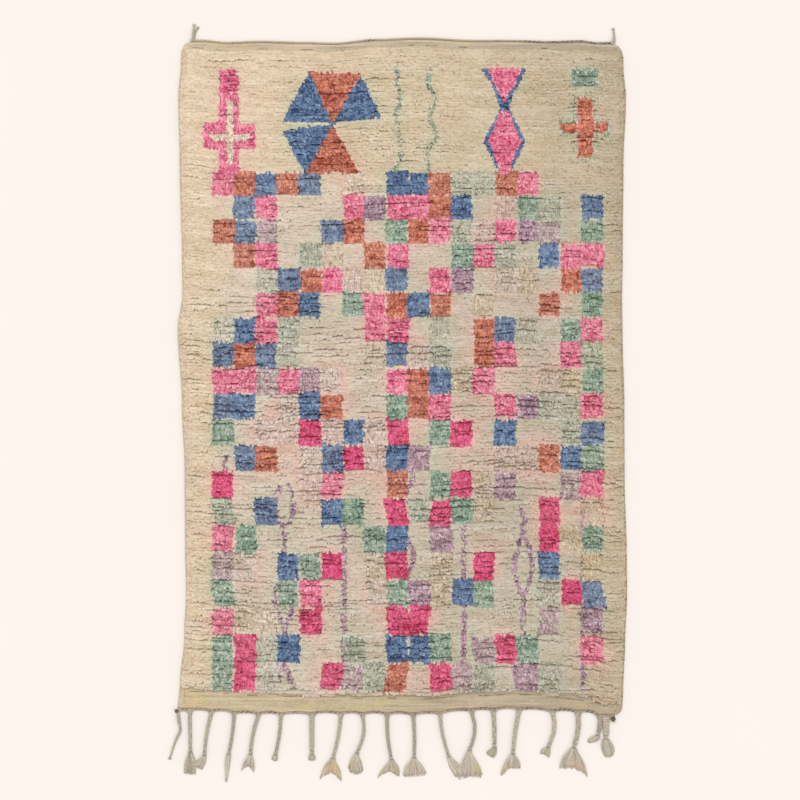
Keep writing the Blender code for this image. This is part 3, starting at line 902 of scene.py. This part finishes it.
def cream_tints(shader, share, light=CREAM.light, deep=CREAM.deep):
    """Undyed wool: creamier to the left, greyer to the right, with faint washes of dye."""
    x, y = shader.axis(0), shader.axis(1)
    across = shader.ranged(x, -0.75, 0.75)
    light = shader.mix(across, light, "#C6BCA9")
    deep = shader.mix(across, deep, "#A29274")
    wool = shader.mix(share, deep, light)
    for scale, colour, start in WASHES:
        amount = shader.patches(start, start + 0.16, 0.0, 0.32, scale, 1.5)
        wool = shader.mix(amount, wool, shader.mix(share, colour, light))
    # Between the squares the wool has greyed, and less so at the margins
    greyed = shader.ranged(shader.math("ABSOLUTE", x), 0.70, 0.58)
    greyed = shader.math("MULTIPLY", greyed, shader.ranged(y, 0.86, 0.70))
    wool = shader.mix(greyed, wool, GREYED, "MULTIPLY")
    upper_right = shader.math("MULTIPLY", shader.ranged(x, 0.3, 0.75), shader.ranged(y, 0.0, 0.7))
    wool = shader.scaled(wool, shader.ranged(upper_right, 0.0, 1.0, 1.0, 0.89))
    return shader.scaled(wool, shader.ranged(y, -0.4, 1.0, 0.895, 0.945))


def bled_tints(shader, wool, share):
    """Cream wool with the dye that has bled into it from the squares beside it."""
    bleed = shader.attribute("fade")
    for high, deep, light in ((0.7, "#B58C80", "#D4B9AD"), (-0.7, "#919B80", "#BDC0AF")):
        amount = shader.ranged(bleed, 0.0, high, 0.0, 0.7)
        wool = shader.mix(amount, wool, shader.mix(share, deep, light))
    return wool


def pile_wool(yarn):
    """Wool pile: light and deep strands, darkened towards the roots by painted shade and by dye
    less faded there, worn and faded at the tips.
    """
    shader = Shader(f"{yarn.name}_pile_wool")
    plain = yarn is CREAM
    fibre = shader.noise(145, 3.0, (0.45, 1.8, 1.0) if plain else (0.6, 1.7, 1.0))
    fibre = shader.math("MULTIPLY", fibre, 0.66 if plain else 0.95)
    share = shader.math("ADD", shader.attribute("tone"), fibre)
    share = shader.ranged(share, 0.40, 1.28) if plain else shader.ranged(share, 0.68, 1.31)
    if plain:
        wool = bled_tints(shader, cream_tints(shader, share), share)
    else:
        pale = cream_tints(shader, share, PALE_LIGHT, PALE_DEEP)
        wool = shader.mix(share, yarn.deep, yarn.light)
        wool = shader.mix(shader.attribute("fade"), wool, pale)
    # Painted shade: each lock darkens towards its root, to 0.74 in the cream and 0.34 to 0.66 in
    # dyed wool, for the shade deep in the pile; in part it is also dye less faded near the knot.
    shade = 0.74 if plain else shader.ranged(shader.attribute("fade"), 0.0, 0.9, 0.34, 0.66)
    along = shader.attribute("along")
    wool = shader.scaled(wool, shader.ranged(along, 0.0, 0.5 if plain else 0.6, shade, 1.03))
    # Painted shadows between the tufts, as dark streaks with faint painted highlights: down the
    # dyed wool, across the cream
    if plain:
        shadow_strokes = shader.patches(0.34, 0.45, 0.76, 1.02, 95, 2.0, (0.5, 2.1, 1.0))
    else:
        shadow_strokes = shader.patches(0.34, 0.49, 0.62, 1.06, 100, 2.0, (2.3, 0.45, 1.0))
    shader.bump(shader.noise(520, 3.0, (1.6, 1.0, 0.6)), 0.0008, 0.25)
    return shader.finish(shader.scaled(wool, shadow_strokes))


def woven_wool():
    """The flat-woven ground, and the wool of the pile packed between the knots."""
    shader = Shader("woven_ground_wool", roughness=0.92)
    across = shader.ranged(shader.axis(0), -0.8, 0.8)
    wool = shader.mix(across, "#BDB094", "#A59B8A")
    # Streaks, patches and stains
    for colour, look in (
        ("#8A7D63", (0.35, 0.72, 0.0, 0.75, 7.0, 4.0, (0.6, 16.0, 1.0))),
        ("#C6AC8E", (0.5, 0.7, 0.0, 0.4, 9.0)),
        ("#B8AE78", (0.56, 0.7, 0.0, 0.45, 13.0, 2.0, (0.7, 2.0, 1.0))),
    ):
        wool = shader.mix(shader.patches(*look), wool, colour)
    wool = shader.scaled(wool, shader.patches(0.3, 0.7, 0.84, 1.17, 130, 3.0, (0.8, 2.6, 1.0)))
    wool = shader.mix(shader.ranged(shader.axis(1), 1.0, 1.1), wool, TOP_PALER, "MULTIPLY")
    # Under the pile the packed wool takes the deep side of the cream and the yarns' deep colours,
    # dimmed to 0.85: painted shade beneath the locks.
    cream = cream_tints(shader, shader.patches(0.3, 0.7, 0.1, 0.5, 180, 2.0))
    packed = shader.mix(shader.attribute("dyed"), cream, shader.attribute("dye", "Color"))
    wool = shader.mix(shader.attribute("covered"), wool, shader.scaled(packed, 0.85))
    shader.bump(shader.noise(480, 2.0, (0.5, 2.5, 1.0)), 0.0008, 0.4)
    return shader.finish(wool)


def selvedge_wool():
    """The overcast side edges, in the pile's wool with darker turns here and there."""
    shader = Shader("selvedge_wool", roughness=0.92)
    share = shader.patches(0.3, 0.7, 0.0, 0.75, 70, 2.0, (0.5, 1.6, 0.5))
    turns = shader.patches(0.58, 0.8, 0.0, 0.4, 60, 2.0, (0.4, 1.0, 0.4))
    wool = shader.mix(turns, cream_tints(shader, share), "#8C7E5F")
    shader.bump(shader.noise(420, 2.0, (0.6, 2.2, 1.0)), 0.0008)
    return shader.finish(shader.scaled(wool, 0.9))


def warp_wool():
    """The grey-beige warp wool of the braids, plied, with faint stains of dye."""
    shader = Shader("warp_wool", roughness=0.9)
    tone = shader.math("ADD", shader.attribute("tone"), shader.noise(160, 2.0))
    wool = shader.mix(shader.ranged(tone, 0.5, 1.5), "#867F71", "#C0BAAD")
    down = shader.ranged(shader.axis(1), -1.30, -1.24, 0.5, 0.15)
    for scale, colour, start in WARP_STAINS:
        amount = shader.patches(start, start + 0.12, 0.0, down, scale, 1.0)
        wool = shader.mix(amount, wool, colour)
    shader.bump(shader.noise(620, 3.0), 0.0009)
    tips_paler = shader.ranged(shader.axis(1), -1.36, -1.24, 1.06, 0.96)
    return shader.finish(shader.scaled(wool, tips_paler))


def dark_wool():
    """The dark grey-brown yarn along the edges, worn pale most where its tone is high."""
    shader = Shader("dark_edging_wool", roughness=0.92)
    worn = shader.math("ADD", shader.noise(34, 2.0), shader.attribute("tone"))
    wool = shader.mix(shader.ranged(worn, 0.76, 0.94), "#5F5749", "#AEA386")
    wool = shader.scaled(wool, shader.patches(0.3, 0.7, 0.8, 1.1, 240, 2.0))
    shader.bump(shader.noise(520, 3.0), 0.0008)
    return shader.finish(wool)


def floor_paper():
    shader = Shader("pale_floor", roughness=0.9, sheen=0.0)
    return shader.finish(shader.mix(shader.noise(3.0, 2.0), "#D9D7D4", "#DAD8D6"))


# The ground, its edges and its cords


def beside_roots(x):
    """How far each place along the bottom edge is from the nearest braids, from 0 to 1."""
    roots = np.array([braid.root for braid in FRINGE]) * MM
    step = np.interp(x, roots, np.arange(len(roots)))
    between = np.abs(np.sin(np.pi * (step - np.floor(step))))
    wide = np.interp(x, roots[:-1], np.minimum(np.diff(roots) / 0.09, 1.0))
    return between * wide


def edge_height(inset):
    """How high the bare woven cloth lies, by how far in from the nearest edge it is."""
    return np.interp(inset, (0.0, 0.004, 0.012, 0.020), (0.0042, 0.0058, 0.0060, 0.0055))


def ground_grid():
    """Places of the ground's rows and columns: fine on the flat-woven ends."""
    band = np.arange(0, BAND_LENGTH, WEFT_PITCH / 2) - HALF_LENGTH
    turned = HALF_LENGTH - np.arange(0, TOP_INSET, 0.0020)[::-1]
    between = np.linspace(band[-1], turned[0], round((turned[0] - band[-1]) / ROW_PITCH))
    rows = np.concatenate([band, between[1:-1], turned])
    columns = np.linspace(-HALF_WIDTH, HALF_WIDTH, GROUND_COLUMNS)
    return rows, columns


def packed_wool(x, y):
    """The colour of the yarn that is knotted in at each place, in its deep colour as painted shade
    under the pile, and whether it is dyed.
    """
    kind, fade = draw_pattern(x, y, np.random.default_rng(SEED + 1))
    deep = np.array([linear(yarn.deep) for yarn in YARNS])[kind]
    pale = np.array(linear(PALE_DEEP))
    return deep + (pale - deep) * fade[:, None], kind != KIND["cream"]


def woven_ground(material):
    """The cloth that all the knots stand in: one closed sheet with flat-woven ends."""
    rows, columns = ground_grid()
    y, x = np.meshgrid(rows, columns, indexing="ij")
    from_bottom, from_top = y + HALF_LENGTH, HALF_LENGTH - y
    inset = np.minimum(np.minimum(from_bottom, from_top), HALF_WIDTH - np.abs(x))
    band = 1 - smooth_step(from_bottom, BAND_LENGTH - 0.008, BAND_LENGTH)
    turned = 1 - smooth_step(from_top, TOP_INSET - 0.004, TOP_INSET)
    weft = np.where(np.arange(len(rows)) % 2 == 0, 1.0, -1.0)[:, None]
    z = edge_height(inset) + band * (
        0.00025 * weft
        + 0.0011 * value_noise(x, y, 0.21, 0.012, 30)
        + 0.0006 * value_noise(x, y, 0.050, 0.006, 31)
    )
    fold = np.exp(-(((from_top - 0.015) / 0.0030) ** 2))
    z = z + turned * (0.0022 * np.exp(-(((from_top - 0.008) / 0.007) ** 2)) - 0.0009 * fold)
    z = z + turned * 0.0007 * value_noise(x, y, 0.030, 0.008, 32)
    z = z + PACKED_RISE * smooth_step(in_pile(x, y), 0.0, 0.014)
    raised = SCALLOP * beside_roots(x) * np.clip(1 - from_bottom / BAND_LENGTH, 0, 1)
    placed_x, placed_y = on_rug(x, y)
    top = in_space(placed_x, placed_y + raised, z) + SHIFT
    count, width = y.shape
    number, quads = grid_faces(count, width)
    rim = np.concatenate([number[0], number[1:, -1], number[-1, -2::-1], number[-2:0:-1, 0]])
    foot = top.reshape(-1, 3)[rim] * (1, 1, 0)
    below = count * width + np.arange(len(rim))
    walls = np.stack([rim, below, np.roll(below, -1), np.roll(rim, -1)], 1)
    faces = quads + walls.tolist() + [below[::-1].tolist()]
    mesh = bpy.data.meshes.new("woven_ground")
    mesh.from_pydata(np.concatenate([top.reshape(-1, 3), foot]).tolist(), [], faces)
    covered = smooth_step(in_pile(x, y), -0.012, 0.004).ravel()
    colour, dyed = packed_wool(placed_x.ravel(), placed_y.ravel())
    for label, values in (("covered", covered), ("dyed", dyed)):
        keep(mesh, label, np.append(values, np.zeros(len(rim))))
    attribute = mesh.attributes.new("dye", "FLOAT_COLOR", "POINT")
    colour = np.concatenate([colour, np.ones((len(rim), 4))])
    attribute.data.foreach_set("color", colour.astype(np.float32).ravel())
    mesh.shade_smooth()
    return piece("woven_ground", mesh, material)


def selvedge(name, side, material):
    """The overcast edge down one side: a flat strand with the turns of its yarn raised."""
    y = np.linspace(-HALF_LENGTH + 0.003, HALF_LENGTH - 0.006, SELVEDGE_STATIONS)
    wrap = np.abs(np.sin(np.pi * y / 0.0075 + wavering(y, 0.05, 40)))
    inner_x, edge_y = on_rug(side * (HALF_WIDTH - SELVEDGE_REACH), y)
    lumps = wavering(y, 0.035, 41 + side)
    radius = SELVEDGE_REACH + 0.0006 * wrap + 0.0005 * lumps
    path = in_space(inner_x, edge_y, SELVEDGE_LEVEL)
    radius[:4] *= (0.25, 0.6, 0.85, 0.95)
    radius[-4:] *= (0.95, 0.85, 0.6, 0.25)
    strand = Yarns()
    strand.add(path, radius, 8, 0.5)
    points = strand.points[-1]
    points[:, 2] = SELVEDGE_LEVEL + (points[:, 2] - SELVEDGE_LEVEL) * SELVEDGE_FLATNESS
    return strand.make(name, material, "wool_pile")


def end_path(y, outward):
    """The middle line of the cord along one end of the rug."""
    x = np.linspace(-HALF_WIDTH, HALF_WIDTH, CORD_STATIONS)
    placed_x, placed_y = on_rug(x, y)
    if outward < 0:
        placed_y = placed_y + SCALLOP * beside_roots(x)
    offset = outward * (GAP + CORD_WIDTH / 2)
    return in_space(placed_x, placed_y + offset, CORD_HEIGHT / 2)


def twined(end, reach, height, light_radius, tones):
    """The two plies twined along one end of the rug, and the line that they wind round."""
    path = end_path(end * HALF_LENGTH, end)
    plies = twisted(path, reach, CORD_TURN, 2, height)
    light_yarn, dark_yarn = Yarns(), Yarns()
    light_yarn.add(plies[0], light_radius, PLY_SIDES, tones[0])
    dark_yarn.add(plies[1], 0.0021, PLY_SIDES, tones[1])
    return path, light_yarn, dark_yarn


def add_loose_end(yarns, start, bends, count, turn, tones):
    """A cord's loose end: two plies twisted round a curve through its bends, and hairs."""
    places = [start] + [start + np.array((bend.x, bend.y, 0)) * MM for bend in bends]
    path = curve_through(places, count)
    widths = [CORD_WIDTH] + [bend.width * MM for bend in bends]
    radius = np.interp(np.linspace(0, 1, count), np.linspace(0, 1, len(widths)), widths) / 2
    path[:, 2] = radius
    ply = radius * 0.56
    for one, tone in zip(twisted(path, radius - ply, turn, 2), tones):
        yarns.add(one, ply, PLY_SIDES, tone)
    add_end_hairs(yarns, path, radius)


def top_edging(pale, dark, edge):
    """The two plies twined along the top edge, and the ties at its corners."""
    path, light_yarn, dark_yarn = twined(1, 0.0021, 0.0017, 0.0022, (0.5, 0.4))
    worn = 0.54 - 0.26 * smooth_step(path[:, 0], 0.25, 0.62)
    dark_yarn.tone[-1] = np.repeat(worn, PLY_SIDES)
    ties = Yarns()
    for start in (path[0], path[-1]):
        add_knot(ties, start + np.array((0, 0.001, 0)), (1, 0.2, 0), 0.0066, 3, tone=0.7)
    for start, bends in ((path[0], LEFT_TIE), (path[0], LEFT_FORK), (path[-1], RIGHT_TIE)):
        add_loose_end(ties, start, bends, 30, 0.016, (0.45, 0.6))
    cord = light_yarn.make("top_cord_pale_ply", edge)
    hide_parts("top_cord")
    made = [cord, dark_yarn.make("top_cord_dark_ply", dark)]
    return made + [ties.make("top_corner_ties", pale)]


def add_end_hairs(yarns, path, radius):
    """The frayed end of a twisted cord: short hairs that spread from its tip."""
    rng = np.random.default_rng(SEED + 5)
    heading = path[-1] - path[-4]
    heading /= np.linalg.norm(heading)
    side = np.cross(heading, UP)
    for _ in range(9):
        spread = rng.normal(0, 0.35)
        start = path[-3] + side * rng.uniform(-0.4, 0.4) * radius[-3]
        tip = start + (heading + side * spread) * rng.uniform(0.008, 0.015)
        hair = curve_through([start, (start + tip) / 2 + side * 0.001, tip], 5)
        hair[:, 2] = np.linspace(0.0025, 0.0015, 5)
        yarns.add(hair, 0.0011, 3, rng.uniform(0.3, 0.8))


def bottom_edging(pale, dark, edge):
    """The strip twined along the bottom edge, and the dark knots at its ends."""
    path, light_yarn, dark_yarn = twined(-1, 0.0023, 0.0018, 0.0023, (0.35, 0.34))
    loose = Yarns()
    add_loose_end(loose, path[0], LEFT_TAIL, 60, 0.020, (0.4, 0.6))
    for end, offset, axis, radius, turns in END_KNOTS:
        add_knot(dark_yarn, path[end] + np.array(offset), axis, radius, turns, tone=0.1)
    strip = light_yarn.make("fringe_strip_pale_ply", edge)
    made = [strip, dark_yarn.make("fringe_strip_dark_ply", dark)]
    return made + [loose.make("fringe_strip_tail", pale)]


def add_knot(yarns, middle, axis, radius, turns, tone, yarn=0.0021, length=None):
    """Turns of yarn wound tightly round an axis that lies flat."""
    axis = np.array(axis, float)
    axis /= np.linalg.norm(axis)
    side = np.cross(axis, UP)
    count = turns * 12 + 1
    angle = np.linspace(0, 2 * np.pi * turns, count)[:, None]
    length = turns * yarn * 1.6 if length is None else length
    along = np.linspace(-0.5, 0.5, count)[:, None] * length
    swell = 1 - 1.1 * (along / max(length, 1e-6)) ** 2
    centre = np.array((middle[0], middle[1], radius))
    rise = (radius - yarn) * swell
    path = centre + axis * along + side * np.cos(angle) * rise + np.sin(angle) * rise * UP
    yarns.add(path, yarn, 5, tone, reference=tuple(axis))


# The fringe


def braid_line(braid):
    """A braid's middle line from its root to its knot, and the direction of the knot."""
    x, y = on_rug(braid.root * MM, -HALF_LENGTH)
    root = np.array((float(x), float(y) - GAP - CORD_WIDTH * 0.7))
    share = np.linspace(0, 1, 9)
    aside = (braid.end * share + braid.bend * np.sin(np.pi * share)) * MM
    line = root + np.stack([aside, -braid.length * share * MM], 1)
    slope = (braid.end - math.pi * braid.bend) / braid.length
    direction = np.array((slope, -1.0))
    return line, direction / np.linalg.norm(direction)


def add_braid(yarns, braid, line, rng):
    """Three strands that cross over each other in turn, all the way down."""
    width = braid.width * MM * BRAID_SHARE
    strand = width * 0.25
    reach = width / 2 - strand * 0.95
    count = round(braid.length * MM / PLAIT_PERIOD * 11)
    middle = curve_through(line, count)
    tangent = directions(middle)
    side = np.stack([tangent[:, 1], -tangent[:, 0]], 1)
    run = np.linspace(0, braid.length * MM, count)
    lift = BRAID_HEIGHT / 2 - strand * 0.8
    period = PLAIT_PERIOD * (0.8 + 0.2 * braid.width / 18)
    taper = np.linspace(1.06, 0.90, count)
    for third in range(3):
        phase = 2 * np.pi * (run / period + third / 3) + rng.uniform(-0.1, 0.1)
        place = middle + side * (reach * taper * np.sin(phase))[:, None]
        level = max(BRAID_HEIGHT / 2 + 0.0004, lift + strand * 1.14)
        z = level + lift * np.sin(2 * phase)
        path = in_space(*place.T, z)
        lumps = wavering(run, 0.012, braid.root % 97 + third)
        thick = strand * taper * (1 + 0.07 * lumps)
        yarns.add(path, thick, PLY_SIDES, rng.uniform(0.25, 0.75))


def add_root(yarns, braid, line, rng):
    """The warps that gather from the cloth's edge into the braid's root."""
    half = braid.width * MM * 0.72
    below = line[0] + (line[1] - line[0]) * 0.018 / np.linalg.norm(line[1] - line[0])
    for place in np.linspace(-1, 1, 7):
        start = line[0] + np.array((place * half, 0.006 + rng.uniform(0, 0.001)))
        finish = below + np.array((place * half * 0.28, 0.0))
        bend = (start + finish) / 2 + np.array((-place * half * 0.12, 0.0))
        flat = curve_through([start, bend, finish], 6)
        path = in_space(*flat.T, np.linspace(0.0055, 0.0075, 6))
        yarns.add(path, np.linspace(0.0014, 0.0021, 6), 5, rng.uniform(0.2, 0.7))


def add_tassel(yarns, braid, neck, direction, rng):
    """The loose ends below a knot: many fine strands that fan out and settle."""
    length = braid.tassel * MM - KNOT_LENGTH
    side = np.array((-direction[1], direction[0]))
    width = braid.width * MM
    hang = np.array((braid.drift * MM, -length))
    across = np.array((-hang[1], hang[0])) / np.linalg.norm(hang)
    count = round(STRANDS_A_TASSEL + STRANDS_A_SPREAD_MM * braid.spread)
    for number in range(count):
        place = np.clip((2 * number + 1) / count - 1 + rng.normal(0, 0.06), -1, 1)
        level = rng.uniform(0, 1)
        hollow = 1 - abs(place) ** 1.3
        brim = 1 - braid.brim * place**4 if braid.brim > 0 else 1 + braid.brim * hollow
        reach = brim * (1 + braid.tilt * place) * rng.uniform(0.84, 1.03)
        start = neck + side * place * width * 0.40
        tip = neck + hang * reach + across * place * braid.spread * MM * 0.48
        start_up = start - direction * 0.004
        middle = start * 0.5 + tip * 0.5 + side * place * braid.spread * MM * 0.07
        sway = rng.normal(0, 0.0014, 2)
        flat = curve_through([start_up, start, middle + sway, tip], 7)
        path = in_space(*flat.T, TASSEL_FLOOR + (TASSEL_TOP - 0.0010) * level)
        yarns.add(path, TASSEL_RADII, 4, rng.uniform(0.3, 1.1), turn=rng.uniform(0, 3))


def fringe_pieces(pale):
    """The braids, their knots and their tassels."""
    rng = np.random.default_rng(SEED + 9)
    braids, knots, tassels = Yarns(), Yarns(), Yarns()
    for braid in FRINGE:
        line, direction = braid_line(braid)
        add_braid(braids, braid, line, rng)
        add_root(braids, braid, line, rng)
        middle = line[-1] + direction * KNOT_LENGTH * 0.42
        neck = line[-1] + direction * KNOT_LENGTH
        flat = np.array((*direction, 0.0))
        radius = braid.width * MM * 0.38 + 0.0012
        add_knot(knots, middle, flat, min(radius, 0.0072), 3, 0.5, braid.width * MM * 0.14, 0.009)
        add_tassel(tassels, braid, neck, direction, rng)
    named = (("fringe_braids", braids), ("fringe_knots", knots), ("fringe_tassels", tassels))
    made = [yarns.make(name, pale) for name, yarns in named]
    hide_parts("fringe")
    return made


# Stitches


STITCH_PITCH = 0.0165


def stitches(dark):
    """Dark overcast stitches on the right edge, and the broken weft lines at the bottom and the
    top of the pile, which are partly painted shadow.
    """
    rng = np.random.default_rng(SEED + 13)
    yarns = Yarns()
    for y in np.arange(-HALF_LENGTH + 0.02, HALF_LENGTH - 0.03, STITCH_PITCH):
        if rng.random() < 0.7:
            add_side_stitch(yarns, y + rng.normal(0, 0.002), rng)
    # Dark lines at both ends of the pile: partly weft yarn, partly painted shadow where the pile
    # ends
    add_broken_line(yarns, lambda x: bottom_inset(x) - 0.0260 - HALF_LENGTH, 0.15, 0.12, rng)
    add_broken_line(yarns, lambda x: 0 * x + HALF_LENGTH - 0.0215, 0.05, 0.20, rng)
    return yarns.make("edge_stitches", dark)


def add_broken_line(yarns, level, longest, widest_gap, rng):
    """A dark weft that shows in lengths along one end of the pile, standing in also for the
    painted shadow in the gap where the pile ends.
    """
    start = -HALF_WIDTH + 0.03
    while start < HALF_WIDTH - 0.08:
        length = rng.uniform(0.02, longest)
        x = np.linspace(start, start + length, max(4, int(length / 0.01)))
        wander = 0.0025 * wavering(x, 0.05, 50)
        path = in_space(*on_rug(x, level(x) + wander), WEFT_LINE_HEIGHT)
        yarns.add(path, 0.0011, 4, 0.3)
        start += length + rng.uniform(0.01, widest_gap)


def add_side_stitch(yarns, y, rng):
    """One turn of dark yarn over the right selvedge."""
    angle = np.linspace(0.10, 0.45, 7) * np.pi
    middle, edge_y = on_rug(HALF_WIDTH - SELVEDGE_REACH, y)
    x = middle + 0.0112 * np.cos(angle)
    z = 0.0056 + 0.0043 * np.sin(angle)
    slant = np.linspace(-1, 1, 7) * rng.uniform(-0.002, 0.002)
    path = in_space(x, edge_y + slant, z)
    yarns.add(path, 0.0009, 4, rng.uniform(0, 1), reference=ALONG_Y)


# The stage

FLOOR_SIZE = 40.0
FLOOR_STEPS = 9


def floor():
    """A wide pale sheet that the rug lies on."""
    line = np.linspace(-FLOOR_SIZE / 2, FLOOR_SIZE / 2, FLOOR_STEPS)
    y, x = np.meshgrid(line, line, indexing="ij")
    points = in_space(x, y, -GAP).reshape(-1, 3)
    mesh = bpy.data.meshes.new("floor")
    mesh.from_pydata(points.tolist(), [], grid_faces(*x.shape)[1])
    mesh.materials.append(floor_paper())
    obj = placed("floor", mesh)
    return obj


Lamp = namedtuple("Lamp", "name towards strength softness")
LAMPS = (
    Lamp("key", towards=(0.20, -0.65, -1.0), strength=1.4, softness=30),
    Lamp("fill", towards=(-0.9, 0.5, -1.1), strength=0.5, softness=60),
)
SKY_STRENGTH = 0.93
SKY = "#FFF6EE"
CAMERA_LENS = 85
CAMERA_REACH = 60
CAMERA_DISTANCE = 6.82
VIEW_MIDDLE = (-0.0090, -0.0867)


def lights():
    for lamp in LAMPS:
        data = bpy.data.lights.new(lamp.name, "SUN")
        data.energy = lamp.strength
        data.angle = math.radians(lamp.softness)
        aim = Vector(lamp.towards).to_track_quat("-Z", "Y").to_euler()
        placed(lamp.name, data).rotation_euler = aim
    world = bpy.data.worlds.new("soft_room")
    world.use_nodes = True
    background = world.node_tree.nodes["Background"]
    background.inputs["Color"].default_value = linear(SKY)
    background.inputs["Strength"].default_value = SKY_STRENGTH
    bpy.context.scene.world = world


def camera():
    data = bpy.data.cameras.new("camera")
    data.lens = CAMERA_LENS
    data.clip_end = CAMERA_REACH
    obj = placed("camera", data)
    obj.location = (VIEW_MIDDLE[0] + SHIFT[0], VIEW_MIDDLE[1] + SHIFT[1], CAMERA_DISTANCE)
    bpy.context.scene.camera = obj


def main():
    bpy.context.scene.view_settings.view_transform = "Standard"
    camera()
    lights()
    ground_stage = floor()
    pale, dark, edge = warp_wool(), dark_wool(), selvedge_wool()
    ground = woven_ground(woven_wool())
    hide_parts("rug_body")
    on_it = pile_pieces()
    on_it += [selvedge("selvedge_left", -1, edge), selvedge("selvedge_right", 1, edge)]
    on_it += top_edging(pale, dark, edge) + bottom_edging(pale, dark, edge)
    on_it += fringe_pieces(pale) + [stitches(dark)]


main()
